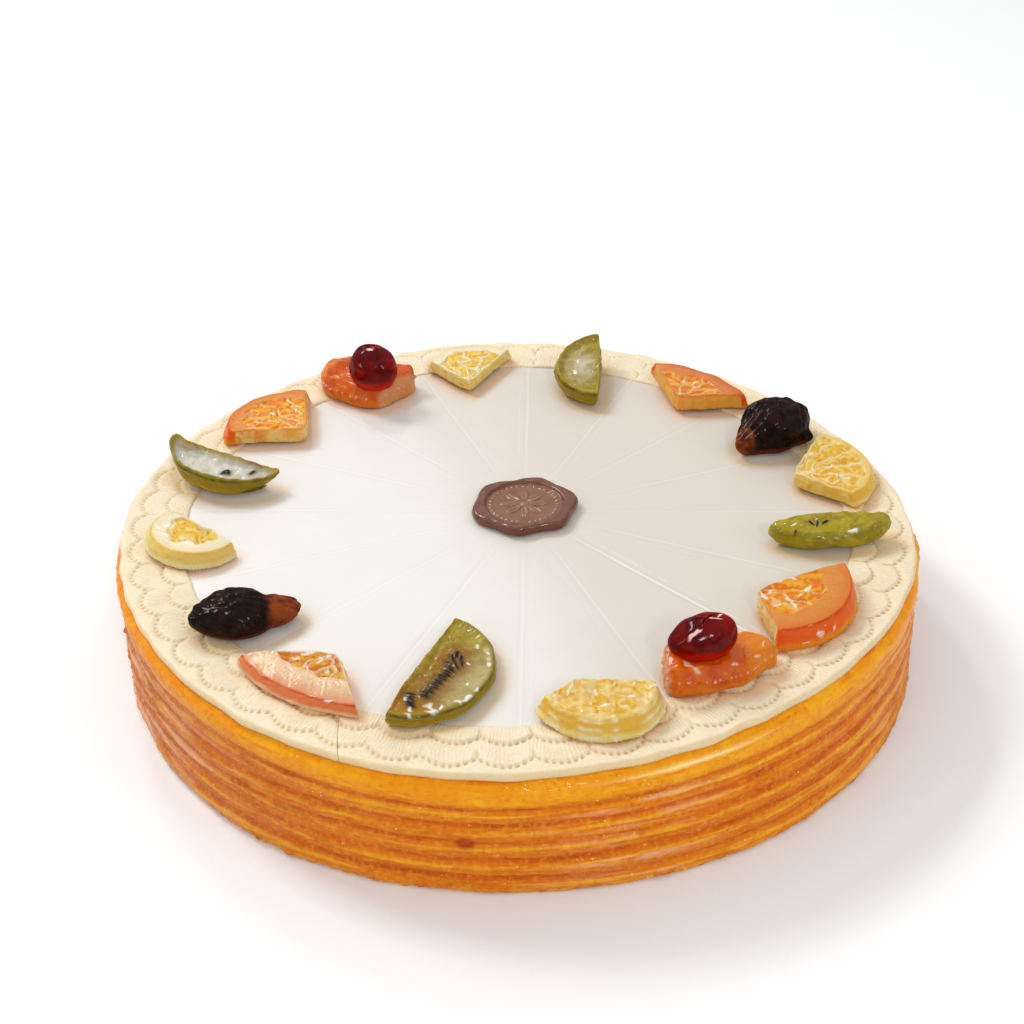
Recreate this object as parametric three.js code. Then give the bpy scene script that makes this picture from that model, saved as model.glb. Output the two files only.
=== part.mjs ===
// A round marzipan cake. The layered body has a ridged side and carries a white icing inside a
// crimped marzipan ring. Sixteen portions of candied fruit lie across the ring's inner edge and
// a chocolate seal lies in the middle.
// Millimetres, +Z up. The origin is on the surface the cake stands on, under the middle of the
// ring, and -Y is the front. Azimuths are in degrees, anticlockwise from +X seen from above.

import * as THREE from "three";
import { mergeVertices } from "three/addons/utils/BufferGeometryUtils.js";

// ---- Heights ----
const BODY_TOP = 39;
const SEAT_GAP = 0.3;
const RING_THICKNESS = 2.7;
const ICING_THICKNESS = 1.3;
const RING_BASE = BODY_TOP + SEAT_GAP;
const RING_TOP = RING_BASE + RING_THICKNESS;
const ICING_TOP = RING_BASE + ICING_THICKNESS;

// ---- Plan of the ring and of the foot: a mean radius and the waves that put it out of round ----
const RING_RADIUS = 129.3;
const RING_WAVES = [
  { turns: 1, cos: 0, sin: 0.8 },
  { turns: 2, cos: 0.1, sin: -0.25 },
  { turns: 3, cos: 1.03, sin: -0.31 },
  { turns: 4, cos: 0.98, sin: -0.66 },
];
const FOOT_RADIUS = 132;
const FOOT_WAVES = [
  { turns: 1, cos: 1.6, sin: 0 },
  { turns: 2, cos: -0.3, sin: -0.1 },
  { turns: 3, cos: -0.22, sin: -0.08 },
  { turns: 4, cos: -0.72, sin: -0.57 },
];

// ---- Side of the body: a smooth shoulder above five ridged layers ----
const BODY_STEPS = 72;
const LAYER_COUNT = 5;
const LAYER_PITCH = 6.1;
const RIDGE_DEPTH = 1.1;
const GROOVE_WANDER = 0.6;
const FOOT_ROUNDING = 1.2;
const SHOULDER_PROUD = 1.1;
const SHOULDER_ROUNDING = 2.4;

// ---- Relief of the ring, as distances inwards from its outer edge ----
const SCALLOP_COUNT = 50;
const SCALLOP_PHASE = -101.9;
const STEPS_PER_SCALLOP = 5;
const RING_WIDTH = 20.4;
const OUTER_ARC = 3.9;
const OUTER_CUSP = 7.6;
const INNER_ARC = 12.7;
const INNER_CUSP = 16.4;
const PRESS_DEPTH = 0.7;
const LIP_WIDTH = 1.2;
const SEAM_AZIMUTH = -111.4;
const SEAM_SLANT = -5;
const SEAM_SLANT_STEPS = 10;
const SEAM_GAP = 0.4;

// ---- Icing and seal ----
const ICING_STEPS = 72;
const ICING_EDGE_ROUNDING = 1.2;
const SEAL_STEPS = 48;
const SEAL_CENTRE = new THREE.Vector2(4, 3);
const SEAL_RADIUS = 16.9;
const SEAL_LENGTHENING = 0.7;
const SEAL_LENGTH_AZIMUTH = 10;
const SEAL_LOBES = 6;
const SEAL_LOBE_HEIGHT = 0.8;
const SEAL_LOBE_AZIMUTH = 17;
const SEAL_THICKNESS = 3.6;
const SEAL_FACE_RADIUS = 13.4;
const SEAL_FACE_DEPTH = 0.9;

// ---- Candied fruit: where each piece lies and its own sizes ----
// azimuth and radius give the piece's middle, heading the direction of its own X axis.
const KIWI_SLICES = [
  {
    name: "kiwi_front", azimuth: -101.5, radius: 92.2, heading: 248,
    length: 49, width: 22, thickness: 5,
  },
  {
    name: "kiwi_back", azimuth: 74, radius: 97.8, heading: 86,
    length: 39, width: 18, thickness: 7, nose_up: 7,
  },
  {
    name: "kiwi_right", azimuth: -11.7, radius: 104.6, heading: 181,
    length: 41, width: 14, thickness: 8, bow: 5,
  },
  {
    name: "kiwi_left", azimuth: 168, radius: 104.4, heading: 158,
    length: 43, width: 17, thickness: 7, nose_up: 3,
  },
];
// apex is a wedge's inner corner in plan; its two cut sides lie at the azimuths from and to.
const ORANGE_WEDGES = [
  {
    name: "orange_front", apex: [-50, -82], from: 178, to: 285,
    sides: [29, 24], depth: 20, thickness: 5,
  },
  {
    name: "orange_right", apex: [72.5, -56], from: -78, to: 26,
    sides: [21, 33], depth: 26, thickness: 7,
  },
  {
    name: "orange_back", apex: [61, 69.5], from: 5, to: 100,
    sides: [26, 31], depth: 25, thickness: 6,
  },
  {
    name: "orange_left", apex: [-73.5, 49.5], from: 97, to: 182,
    sides: [31, 28], depth: 33, thickness: 5.5,
  },
];
const LEMON_WEDGES = [
  {
    name: "lemon_front", apex: [27, -96], from: 203, to: 345,
    sides: [21, 12.5], depth: 19, thickness: 6,
  },
  {
    name: "lemon_left", apex: [-100.7, -13], from: 150, to: 318,
    sides: [15, 14], depth: 18, thickness: 5.5,
  },
  {
    name: "lemon_right", apex: [95, 14.5], from: -35, to: 62,
    sides: [23, 33], depth: 29, thickness: 5,
  },
  {
    name: "lemon_back", apex: [-16, 86.5], from: 62, to: 130,
    sides: [32, 24], depth: 31.5, thickness: 4.5,
  },
];
const PLUMS = [
  {
    name: "plum_left", azimuth: -143, radius: 101, heading: 17,
    length: 34, width: 20, height: 10, nose: 9,
  },
  {
    name: "plum_back", azimuth: 26.7, radius: 103.7, heading: 218,
    length: 34, width: 23, height: 15, nose: 10,
  },
];
const FRUIT_BLOCKS = [
  {
    name: "fruit_block_front", azimuth: -55.9, radius: 104.3, heading: 12,
    length: 32, width: 18, height: 7,
  },
  {
    name: "fruit_block_back", azimuth: 122.1, radius: 107.7, heading: 150,
    length: 32, width: 24, height: 7.5,
  },
];
// A cherry lies on a block, moved along and across the block's own axes from its middle.
const CHERRIES = [
  {
    name: "cherry_front", on: "fruit_block_front", along: -5, across: 0,
    length: 20, width: 14, height: 11.5,
  },
  {
    name: "cherry_back", on: "fruit_block_back", along: -8.6, across: 4.7,
    length: 18.4, width: 17, height: 15,
  },
];
const SLICE_ARC_STEPS = 12;
const SLICE_CUT_STEPS = 5;
const EDGE_ROUNDING = 0.8;
const RIND_SLOPE = 0.35;
const TRUNCATED_APEX = 4;

const { degToRad, lerp, smoothstep } = THREE.MathUtils;
const range = (count) => Array.from({ length: count }, (_, index) => index);
const waveSum = (waves, angle) =>
  waves.reduce(
    (sum, wave) => sum + wave.cos * Math.cos(wave.turns * angle) + wave.sin * Math.sin(wave.turns * angle),
    0,
  );
const ringRadius = (angle) => RING_RADIUS + waveSum(RING_WAVES, angle);
const footRadius = (angle) => FOOT_RADIUS + waveSum(FOOT_WAVES, angle);
const polar = (radius, angle, height) =>
  new THREE.Vector3(radius * Math.cos(angle), radius * Math.sin(angle), height);

const cakeGroup = new THREE.Group();
const byName = new Map();

// A closed skin through equal loops of points, with a flat cap on the first and the last loop.
// capPlane turns a point into the two coordinates in which a cap is divided into triangles.
function loft(loops, capPlane = (point) => new THREE.Vector2(point.x, point.y)) {
  const around = loops[0].length;
  const positions = loops.flat().flatMap((point) => point.toArray());
  const indices = [];
  for (const row of range(loops.length - 1)) {
    for (const step of range(around)) {
      const next = (step + 1) % around;
      const here = row * around;
      const above = here + around;
      indices.push(here + step, here + next, above + next);
      indices.push(here + step, above + next, above + step);
    }
  }
  const cap = (row, turned) => {
    for (const [a, b, c] of THREE.ShapeUtils.triangulateShape(loops[row].map(capPlane), [])) {
      const corners = turned ? [c, b, a] : [a, b, c];
      indices.push(...corners.map((corner) => row * around + corner));
    }
  };
  cap(0, true);
  cap(loops.length - 1, false);
  return closedGeometry(positions, indices);
}

// A geometry of merged points whose faces are turned outwards.
function closedGeometry(positions, indices) {
  const raw = new THREE.BufferGeometry();
  raw.setAttribute("position", new THREE.Float32BufferAttribute(positions, 3));
  raw.setIndex(indices);
  const geometry = mergeVertices(raw, 1e-4);
  if (signedVolume(geometry) < 0) {
    const turned = Array.from(geometry.index.array).reverse();
    geometry.setIndex(turned);
  }
  geometry.computeVertexNormals();
  return geometry;
}

function signedVolume(geometry) {
  const corner = (index) => new THREE.Vector3().fromBufferAttribute(geometry.attributes.position, index);
  const index = geometry.index.array;
  let sixfold = 0;
  for (let face = 0; face < index.length; face += 3) {
    const [a, b, c] = [corner(index[face]), corner(index[face + 1]), corner(index[face + 2])];
    sixfold += a.dot(b.clone().cross(c));
  }
  return sixfold / 6;
}

function addMesh(parent, name, geometry, look) {
  const mesh = new THREE.Mesh(geometry, new THREE.MeshStandardMaterial({ metalness: 0, ...look }));
  mesh.name = name;
  parent.add(mesh);
  byName.set(name, mesh);
  return mesh;
}

// ---- Body ----

// Height of the groove under a layer; layer 0 is the one under the shoulder.
function grooveHeight(layer, angle) {
  const wander = Math.sin(2 * angle + 1.9 * layer) + 0.5 * Math.sin(5 * angle + 2.7 * layer);
  return LAYER_PITCH * (LAYER_COUNT - layer) + GROOVE_WANDER * wander;
}

// Radius of the side's mean surface at a height: it spreads from the ring's edge to the foot.
function sideRadius(angle, height) {
  return lerp(footRadius(angle), ringRadius(angle) + 0.5, height / BODY_TOP);
}

function bodyLoop(heightAt, outwardsAt) {
  return range(BODY_STEPS).map((step) => {
    const angle = (2 * Math.PI * step) / BODY_STEPS;
    const height = heightAt(angle);
    return polar(sideRadius(angle, height) + outwardsAt(angle), angle, height);
  });
}

// Each layer bulges out between its grooves, and its ridge fades and grows round the cake. Above
// the grooves the shoulder swells out and then turns in under the ring.
function bodyGeometry() {
  const ridge = (layer, angle) => RIDGE_DEPTH * (0.8 + 0.35 * Math.sin(3 * angle + 2.2 * layer));
  const loops = [
    bodyLoop(() => 0, () => -FOOT_ROUNDING),
    bodyLoop(() => FOOT_ROUNDING, () => 0),
  ];
  for (const layer of range(LAYER_COUNT).reverse()) {
    const below = (angle) => (layer === LAYER_COUNT - 1 ? FOOT_ROUNDING : grooveHeight(layer + 1, angle));
    const above = (angle) => grooveHeight(layer, angle);
    const between = (share) => (angle) => lerp(below(angle), above(angle), share);
    loops.push(bodyLoop(between(0.25), (angle) => 0.5 * ridge(layer, angle)));
    loops.push(bodyLoop(between(0.7), (angle) => 0.6 * ridge(layer, angle)));
    loops.push(bodyLoop(above, (angle) => -0.45 * ridge(layer, angle)));
  }
  const shoulderFoot = (angle) => grooveHeight(0, angle);
  const shoulder = (share) => (angle) => lerp(shoulderFoot(angle), BODY_TOP, share);
  loops.push(bodyLoop(shoulder(0.15), () => 0.4 * SHOULDER_PROUD));
  loops.push(bodyLoop(shoulder(0.4), () => SHOULDER_PROUD));
  loops.push(bodyLoop(shoulder(0.68), () => 0.8 * SHOULDER_PROUD));
  loops.push(bodyLoop(shoulder(0.9), () => SHOULDER_PROUD - 0.4 * SHOULDER_ROUNDING));
  loops.push(bodyLoop(shoulder(1), () => SHOULDER_PROUD - SHOULDER_ROUNDING));
  return loft(loops);
}

// ---- Marzipan ring ----

// How far inwards a scalloped line lies: a row of arcs that bulge outwards between their cusps.
function scallopLine(arc, cusp, angle) {
  const turn = (THREE.MathUtils.radToDeg(angle) - SCALLOP_PHASE) * (SCALLOP_COUNT / 360);
  const share = THREE.MathUtils.euclideanModulo(turn, 1);
  return cusp - (cusp - arc) * Math.sin(Math.PI * share) ** 0.8;
}

// slant turns the section's inner end round the cake, in radians.
function ringSection(angle, slant) {
  const outerLine = scallopLine(OUTER_ARC, OUTER_CUSP, angle);
  const innerLine = scallopLine(INNER_ARC, INNER_CUSP, angle);
  const point = (inwards, up) => {
    const turned = angle + slant * (inwards / RING_WIDTH);
    return polar(ringRadius(turned) - inwards, turned, RING_BASE + up);
  };
  return [
    point(0.2, 0),
    point(0, 0.5 * RING_THICKNESS),
    point(LIP_WIDTH, RING_THICKNESS - 0.1),
    point(outerLine - LIP_WIDTH, RING_THICKNESS),
    point(outerLine, RING_THICKNESS - PRESS_DEPTH),
    point(outerLine + LIP_WIDTH, RING_THICKNESS - 0.1),
    point(innerLine, RING_THICKNESS - PRESS_DEPTH),
    point(innerLine + LIP_WIDTH, RING_THICKNESS - 0.1),
    point(RING_WIDTH - 0.4, RING_THICKNESS - PRESS_DEPTH),
    point(RING_WIDTH, 0),
  ];
}

// The strip lies once round the cake and its two ends meet at a slanted seam; the slant dies out
// over the strip's first and last steps.
function ringGeometry() {
  const halfGap = SEAM_GAP / 2 / RING_RADIUS;
  const start = degToRad(SEAM_AZIMUTH) + halfGap;
  const end = degToRad(SEAM_AZIMUTH + 360) - halfGap;
  const steps = SCALLOP_COUNT * STEPS_PER_SCALLOP;
  const sections = range(steps + 1).map((step) => {
    const fromSeam = Math.min(step, steps - step) / SEAM_SLANT_STEPS;
    const slant = degToRad(SEAM_SLANT) * Math.max(0, 1 - fromSeam);
    return ringSection(lerp(start, end, step / steps), slant);
  });
  return loft(sections, (point) => new THREE.Vector2(Math.hypot(point.x, point.y), point.z));
}

// ---- Icing: a flat skin inside the ring, rounded at its edge ----
function icingGeometry() {
  const loop = (inwards, up) =>
    range(ICING_STEPS).map((step) => {
      const angle = (2 * Math.PI * step) / ICING_STEPS;
      const edge = ringRadius(angle) - RING_WIDTH - SEAT_GAP;
      return polar(edge - inwards, angle, RING_BASE + up);
    });
  return loft([
    loop(0, 0),
    loop(0, 0.6 * ICING_THICKNESS),
    loop(ICING_EDGE_ROUNDING, ICING_THICKNESS),
  ]);
}

// ---- Chocolate seal: a lobed disc with a raised rim round a flat face ----
function sealGeometry() {
  const edge = (angle) =>
    SEAL_RADIUS +
    SEAL_LENGTHENING * Math.cos(2 * (angle - degToRad(SEAL_LENGTH_AZIMUTH))) +
    SEAL_LOBE_HEIGHT * Math.cos(SEAL_LOBES * (angle - degToRad(SEAL_LOBE_AZIMUTH)));
  const loop = (radiusAt, up) =>
    range(SEAL_STEPS).map((step) => {
      const angle = (2 * Math.PI * step) / SEAL_STEPS;
      return polar(radiusAt(angle), angle, up);
    });
  return loft([
    loop((angle) => edge(angle) - 0.7, 0),
    loop(edge, 0.3 * SEAL_THICKNESS),
    loop((angle) => edge(angle) - 0.3, 0.65 * SEAL_THICKNESS),
    loop((angle) => edge(angle) - 1.5, SEAL_THICKNESS),
    loop(() => SEAL_FACE_RADIUS, SEAL_THICKNESS - 0.2),
    loop(() => SEAL_FACE_RADIUS - 0.8, SEAL_THICKNESS - SEAL_FACE_DEPTH),
  ]);
}

// ---- Candied fruit ----

// A slab over a plan outline. spreadAt gives how far an outline point moves out from the middle
// at the foot, as a share of the thickness; crown is the rise of the top's middle.
function slabGeometry(outline, thickness, { spreadAt = () => 0, crown = 0 } = {}) {
  const middle = outline
    .reduce((sum, point) => sum.add(point), new THREE.Vector2())
    .divideScalar(outline.length);
  const loop = (inwards, up) =>
    outline.map((point, step) => {
      const away = point.clone().sub(middle);
      const spread = spreadAt(step / outline.length) * (thickness - up);
      away.setLength(Math.max(away.length() - inwards + spread, 0.2 * away.length()));
      return new THREE.Vector3(middle.x + away.x, middle.y + away.y, up);
    });
  return loft([
    loop(EDGE_ROUNDING, 0),
    loop(0, EDGE_ROUNDING),
    loop(0, thickness - EDGE_ROUNDING),
    loop(EDGE_ROUNDING, thickness),
    loop(0.4 * thickness + 2 * EDGE_ROUNDING, thickness + crown),
  ]);
}

// Plan of half a fruit slice: a cut edge along X and an arc over it, centred on its middle.
function halfSliceOutline({ length, width, bow = 1 }) {
  const middle = 0.42 * (width - bow);
  const arc = range(SLICE_ARC_STEPS + 1).map((step) => {
    const angle = (Math.PI * step) / SLICE_ARC_STEPS;
    return new THREE.Vector2((length / 2) * Math.cos(angle), (width - bow) * Math.sin(angle) - middle);
  });
  const cut = range(SLICE_CUT_STEPS).map((step) => {
    const share = (step + 1) / (SLICE_CUT_STEPS + 1);
    const x = lerp(-length / 2, length / 2, share);
    return new THREE.Vector2(x, -bow * Math.sin(Math.PI * share) - middle);
  });
  return [...arc, ...cut];
}

// Plan of a piece of a round slice, from its blunt inner corner to the rind: the two cut sides
// may differ, and depth is the distance from the inner corner to the middle of the rind.
function wedgeOutline({ from, to, sides, depth }) {
  const reach = (share) => {
    const straight = lerp(sides[0], sides[1], share);
    const midway = (sides[0] + sides[1]) / 2;
    return straight + (depth - midway) * 4 * share * (1 - share);
  };
  const at = (distance, share) => {
    const angle = degToRad(lerp(from, to, share));
    return new THREE.Vector2(distance * Math.cos(angle), distance * Math.sin(angle));
  };
  const rind = range(SLICE_ARC_STEPS + 1).map((step) => {
    const share = step / SLICE_ARC_STEPS;
    return at(reach(share), share);
  });
  const secondSide = [0.66, 0.33].map((share) => at(lerp(TRUNCATED_APEX, sides[1], share), 1));
  const firstSide = [0.33, 0.66].map((share) => at(lerp(TRUNCATED_APEX, sides[0], share), 0));
  return [...rind, ...secondSide, at(0.3 * TRUNCATED_APEX, 0.5), ...firstSide];
}

// The rind's share of the outline slopes outwards towards the foot.
const rindSpread = (share) => (share < (SLICE_ARC_STEPS + 0.5) / (SLICE_ARC_STEPS + 6) ? RIND_SLOPE : 0);

// A rounded lump: a ball drawn out to its sizes, flattened underneath and moved by shapeAt.
function lumpGeometry(length, width, height, segments, shapeAt) {
  const ball = new THREE.SphereGeometry(1, segments, Math.round(0.6 * segments));
  ball.rotateX(Math.PI / 2);
  const positions = ball.attributes.position;
  const sunk = 0.62;
  for (const index of range(positions.count)) {
    const point = new THREE.Vector3().fromBufferAttribute(positions, index);
    point.z = Math.max(point.z, -sunk);
    shapeAt(point);
    positions.setXYZ(
      index,
      (point.x * length) / 2,
      (point.y * width) / 2,
      ((point.z + sunk) * height) / (1 + sunk),
    );
  }
  return closedGeometry(Array.from(positions.array), Array.from(ball.index.array));
}

function plumShape({ length, nose }) {
  return (point) => {
    const noseShare = (2 * nose) / length;
    const toNose = smoothstep(point.x, 1 - noseShare - 0.4, 1);
    const fold = 1 + 0.16 * Math.sin(5 * point.x + 2) + 0.1 * Math.sin(7 * point.y);
    point.y *= lerp(1, 0.62, toNose) * fold;
    point.z = point.z > 0 ? point.z * lerp(1, 0.45, toNose) * fold : point.z;
  };
}

function blockOutline({ length, width }) {
  const corners = 20;
  return range(corners).map((step) => {
    const angle = (2 * Math.PI * (step + 0.5)) / corners;
    const squareness = Math.cos(angle) > 0 ? 0.75 : 0.4;
    const x = Math.sign(Math.cos(angle)) * Math.abs(Math.cos(angle)) ** squareness;
    const y = Math.sign(Math.sin(angle)) * Math.abs(Math.sin(angle)) ** squareness;
    return new THREE.Vector2((length / 2) * x, (width / 2) * y);
  });
}

// Lays a piece at an azimuth and a radius. Its frame is hinged on the ring's inner edge: a piece
// whose middle is over the icing slopes down until its inner end meets the icing, and one whose
// middle is over the ring lies flat on it. nose_up raises the outer end further, in degrees.
function seat(geometry, name, look, { azimuth, radius, heading, nose_up = 0 }) {
  const angle = degToRad(azimuth);
  const edge = ringRadius(angle) - RING_WIDTH;
  const turned = geometry.clone().rotateZ(degToRad(heading - azimuth));
  turned.computeBoundingBox();
  const overIcing = edge - (radius + turned.boundingBox.min.x);
  const slope = radius < edge ? Math.atan2(RING_TOP - ICING_TOP, overIcing) : 0;
  const station = new THREE.Group();
  station.rotation.z = angle;
  const hinge = new THREE.Group();
  hinge.position.set(edge, 0, RING_TOP + SEAT_GAP);
  hinge.rotation.y = -slope;
  const piece = new THREE.Group();
  const innerEnd = radius - edge + turned.boundingBox.min.x;
  piece.position.set(innerEnd, 0, 0);
  piece.rotation.y = -degToRad(nose_up);
  const mesh = addMesh(piece, name, geometry, look);
  mesh.position.x = -turned.boundingBox.min.x;
  mesh.rotation.z = degToRad(heading - azimuth);
  hinge.add(piece);
  station.add(hinge);
  cakeGroup.add(station);
  return mesh;
}

// A wedge is placed by its inner corner, so its middle is worked out first.
function seatWedge(wedge, look) {
  const outline = wedgeOutline(wedge);
  const middle = outline
    .reduce((sum, point) => sum.add(point), new THREE.Vector2())
    .divideScalar(outline.length);
  const centred = outline.map((point) => point.clone().sub(middle));
  const place = new THREE.Vector2(...wedge.apex).add(middle);
  const geometry = slabGeometry(centred, wedge.thickness, { spreadAt: rindSpread });
  const azimuth = THREE.MathUtils.radToDeg(place.angle());
  seat(geometry, wedge.name, look, { azimuth, radius: place.length(), heading: 0 });
}

// ---- Assembly ----
addMesh(cakeGroup, "cake_body", bodyGeometry(), { color: 0xd98a2b, roughness: 0.35 });
addMesh(cakeGroup, "marzipan_ring", ringGeometry(), { color: 0xf3ebd6, roughness: 0.6 });
addMesh(cakeGroup, "icing", icingGeometry(), { color: 0xf4f1ec, roughness: 0.3 });
const seal = addMesh(cakeGroup, "chocolate_seal", sealGeometry(), { color: 0x6f4030, roughness: 0.4 });
seal.position.set(SEAL_CENTRE.x, SEAL_CENTRE.y, ICING_TOP + SEAT_GAP);

for (const slice of KIWI_SLICES) {
  const geometry = slabGeometry(halfSliceOutline(slice), slice.thickness);
  seat(geometry, slice.name, { color: 0x8f8a24, roughness: 0.2 }, slice);
}
for (const wedge of ORANGE_WEDGES) {
  seatWedge(wedge, { color: 0xe08a45, roughness: 0.25 });
}
for (const wedge of LEMON_WEDGES) {
  seatWedge(wedge, { color: 0xe9c96a, roughness: 0.3 });
}
for (const plum of PLUMS) {
  const geometry = lumpGeometry(plum.length, plum.width, plum.height, 14, plumShape(plum));
  seat(geometry, plum.name, { color: 0x24120d, roughness: 0.25 }, plum);
}
for (const block of FRUIT_BLOCKS) {
  const geometry = slabGeometry(blockOutline(block), block.height, { spreadAt: () => 0.1 });
  seat(geometry, block.name, { color: 0xd2621a, roughness: 0.2 }, block);
}
for (const cherry of CHERRIES) {
  const dimple = (point) => {
    point.z -= 0.12 * Math.max(0, 1 - 6 * (point.x ** 2 + point.y ** 2)) * Math.sign(point.z);
  };
  const block = byName.get(cherry.on);
  const blockHeight = FRUIT_BLOCKS.find(({ name }) => name === cherry.on).height;
  const geometry = lumpGeometry(cherry.length, cherry.width, cherry.height, 14, dimple);
  const mesh = addMesh(block.parent, cherry.name, geometry, { color: 0x5c0a0a, roughness: 0.1 });
  mesh.rotation.copy(block.rotation);
  mesh.position.copy(block.position);
  mesh.translateX(cherry.along);
  mesh.translateY(cherry.across);
  mesh.translateZ(blockHeight + SEAT_GAP);
}

export default cakeGroup;
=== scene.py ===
import bpy
import numpy as np
from mathutils import Matrix, Vector


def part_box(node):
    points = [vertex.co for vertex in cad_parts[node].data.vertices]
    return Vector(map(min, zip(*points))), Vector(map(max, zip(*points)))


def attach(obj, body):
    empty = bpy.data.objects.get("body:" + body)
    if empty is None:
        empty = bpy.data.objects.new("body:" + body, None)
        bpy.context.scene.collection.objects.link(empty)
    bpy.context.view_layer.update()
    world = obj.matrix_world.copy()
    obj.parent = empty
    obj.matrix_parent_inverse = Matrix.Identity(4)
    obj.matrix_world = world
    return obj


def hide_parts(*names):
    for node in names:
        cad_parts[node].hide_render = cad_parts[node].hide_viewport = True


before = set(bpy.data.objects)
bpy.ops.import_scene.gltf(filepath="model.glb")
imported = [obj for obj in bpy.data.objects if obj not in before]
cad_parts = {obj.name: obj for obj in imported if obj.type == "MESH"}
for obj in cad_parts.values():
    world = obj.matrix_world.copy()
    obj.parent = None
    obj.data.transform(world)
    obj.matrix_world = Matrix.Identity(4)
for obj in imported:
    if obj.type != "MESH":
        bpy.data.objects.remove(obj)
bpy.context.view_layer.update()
MM = 0.001


# ---- Heights and plan, from the frame and from the cake's own driving sizes ----
def box_mm(node):
    """The lowest and the highest corner of a node, in millimetres."""
    low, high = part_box(node)
    return np.array(low) / MM, np.array(high) / MM


BODY_TOP = box_mm("cake_body")[1][2]
RING_BASE, RING_TOP = (corner[2] for corner in box_mm("marzipan_ring"))
ICING_TOP = box_mm("icing")[1][2]
SEAL_BASE, SEAL_TOP = (corner[2] for corner in box_mm("chocolate_seal"))
SEAT_GAP = RING_BASE - BODY_TOP

RING_RADIUS = 129.3
RING_WAVES = [(1, 0, 0.8), (2, 0.1, -0.25), (3, 1.03, -0.31), (4, 0.98, -0.66)]
FOOT_RADIUS = 132.0
FOOT_WAVES = [(1, 1.6, 0), (2, -0.3, -0.1), (3, -0.22, -0.08), (4, -0.72, -0.57)]
RING_WIDTH = 20.4
SEAL_CENTRE = (4.0, 3.0)


def wave_sum(waves, angle):
    """The sum over (turns, cosine share, sine share) of the waves round the cake."""
    return sum(c * np.cos(n * angle) + s * np.sin(n * angle) for n, c, s in waves)


def ring_radius(angle):
    """Radius of the ring's outer edge: a mean radius plus the ring's waves."""
    return RING_RADIUS + wave_sum(RING_WAVES, angle)


def foot_radius(angle):
    """Radius of the body's foot: a mean radius plus the foot's waves."""
    return FOOT_RADIUS + wave_sum(FOOT_WAVES, angle)


def smooth(value, low, high):
    """0 below low, 1 above high, and the curve 3t^2 - 2t^3 between them."""
    t = np.clip((value - low) / (high - low), 0, 1)
    return t * t * (3 - 2 * t)


def hump(value, width):
    """The bell exp(-(value / width)^2)."""
    return np.exp(-((value / width) ** 2))


def turn_from(azimuth, angle):
    """The turn from an azimuth in degrees to each angle, from -pi to pi."""
    return np.angle(np.exp(1j * (angle - np.radians(azimuth))))


def lumps(x, y, seed, size, count=12):
    """Uneven ground of about unit height: plane sine waves in random directions, whose lengths
    are spread from 0.6 to 1.7 times size."""
    draw = np.random.default_rng(seed)
    total = np.zeros(np.broadcast(x, y).shape)
    for turn, stretch, phase in draw.random((count, 3)):
        length = size * 0.6 * 2.8**stretch
        along = x * np.cos(2 * np.pi * turn) + y * np.sin(2 * np.pi * turn)
        total += np.sin(2 * np.pi * (along / length + phase))
    return total / np.sqrt(count / 2)


def streaks(angle, height, seed, turns, rise, count=14):
    """Uneven bands round the cake of about unit height: sine waves with up to `turns` whole turns
    round it and a wavelength of about `rise` upwards."""
    draw = np.random.default_rng(seed)
    total = np.zeros(np.broadcast(angle, height).shape)
    for share, stretch, phase in draw.random((count, 3)):
        whole = np.round((2 * share - 1) * turns)
        climb = height / (rise * 0.6 * 2.8**stretch)
        total += np.sin(whole * angle + 2 * np.pi * (climb + phase))
    return total / np.sqrt(count / 2)


# ---- Meshes from grids of points ----
def mesh_object(name, points, corners, sizes, traits):
    """An object whose mesh has these points, in millimetres, and faces: corners is the flat list
    of point numbers and sizes the number of corners of each face. traits are its point values."""
    mesh = bpy.data.meshes.new(name)
    mesh.vertices.add(len(points))
    mesh.vertices.foreach_set("co", (points * MM).astype(np.float32).ravel())
    mesh.loops.add(len(corners))
    mesh.loops.foreach_set("vertex_index", corners.astype(np.int32))
    mesh.polygons.add(len(sizes))
    starts = np.concatenate([[0], np.cumsum(sizes)[:-1]])
    mesh.polygons.foreach_set("loop_start", starts.astype(np.int32))
    mesh.polygons.foreach_set("use_smooth", np.ones(len(sizes), bool))
    for trait, values in traits.items():
        layer = mesh.attributes.new(trait, "FLOAT", "POINT")
        layer.data.foreach_set("value", np.asarray(values, np.float32).ravel())
    mesh.update(calc_edges=True)
    mesh.validate()
    piece = bpy.data.objects.new(name, mesh)
    bpy.context.scene.collection.objects.link(piece)
    return piece


def quad_corners(rows, columns, wrap_rows=False):
    """Corners of the four-sided faces of a grid whose columns close on themselves."""
    row = np.arange(rows if wrap_rows else rows - 1)[:, None]
    column = np.arange(columns)[None, :]
    above = (row + 1) % rows
    beside = (column + 1) % columns
    faces = [row * columns + column, row * columns + beside, above * columns + beside]
    faces.append(above * columns + column)
    return np.stack(np.broadcast_arrays(*faces), -1).reshape(-1, 4)


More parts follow.
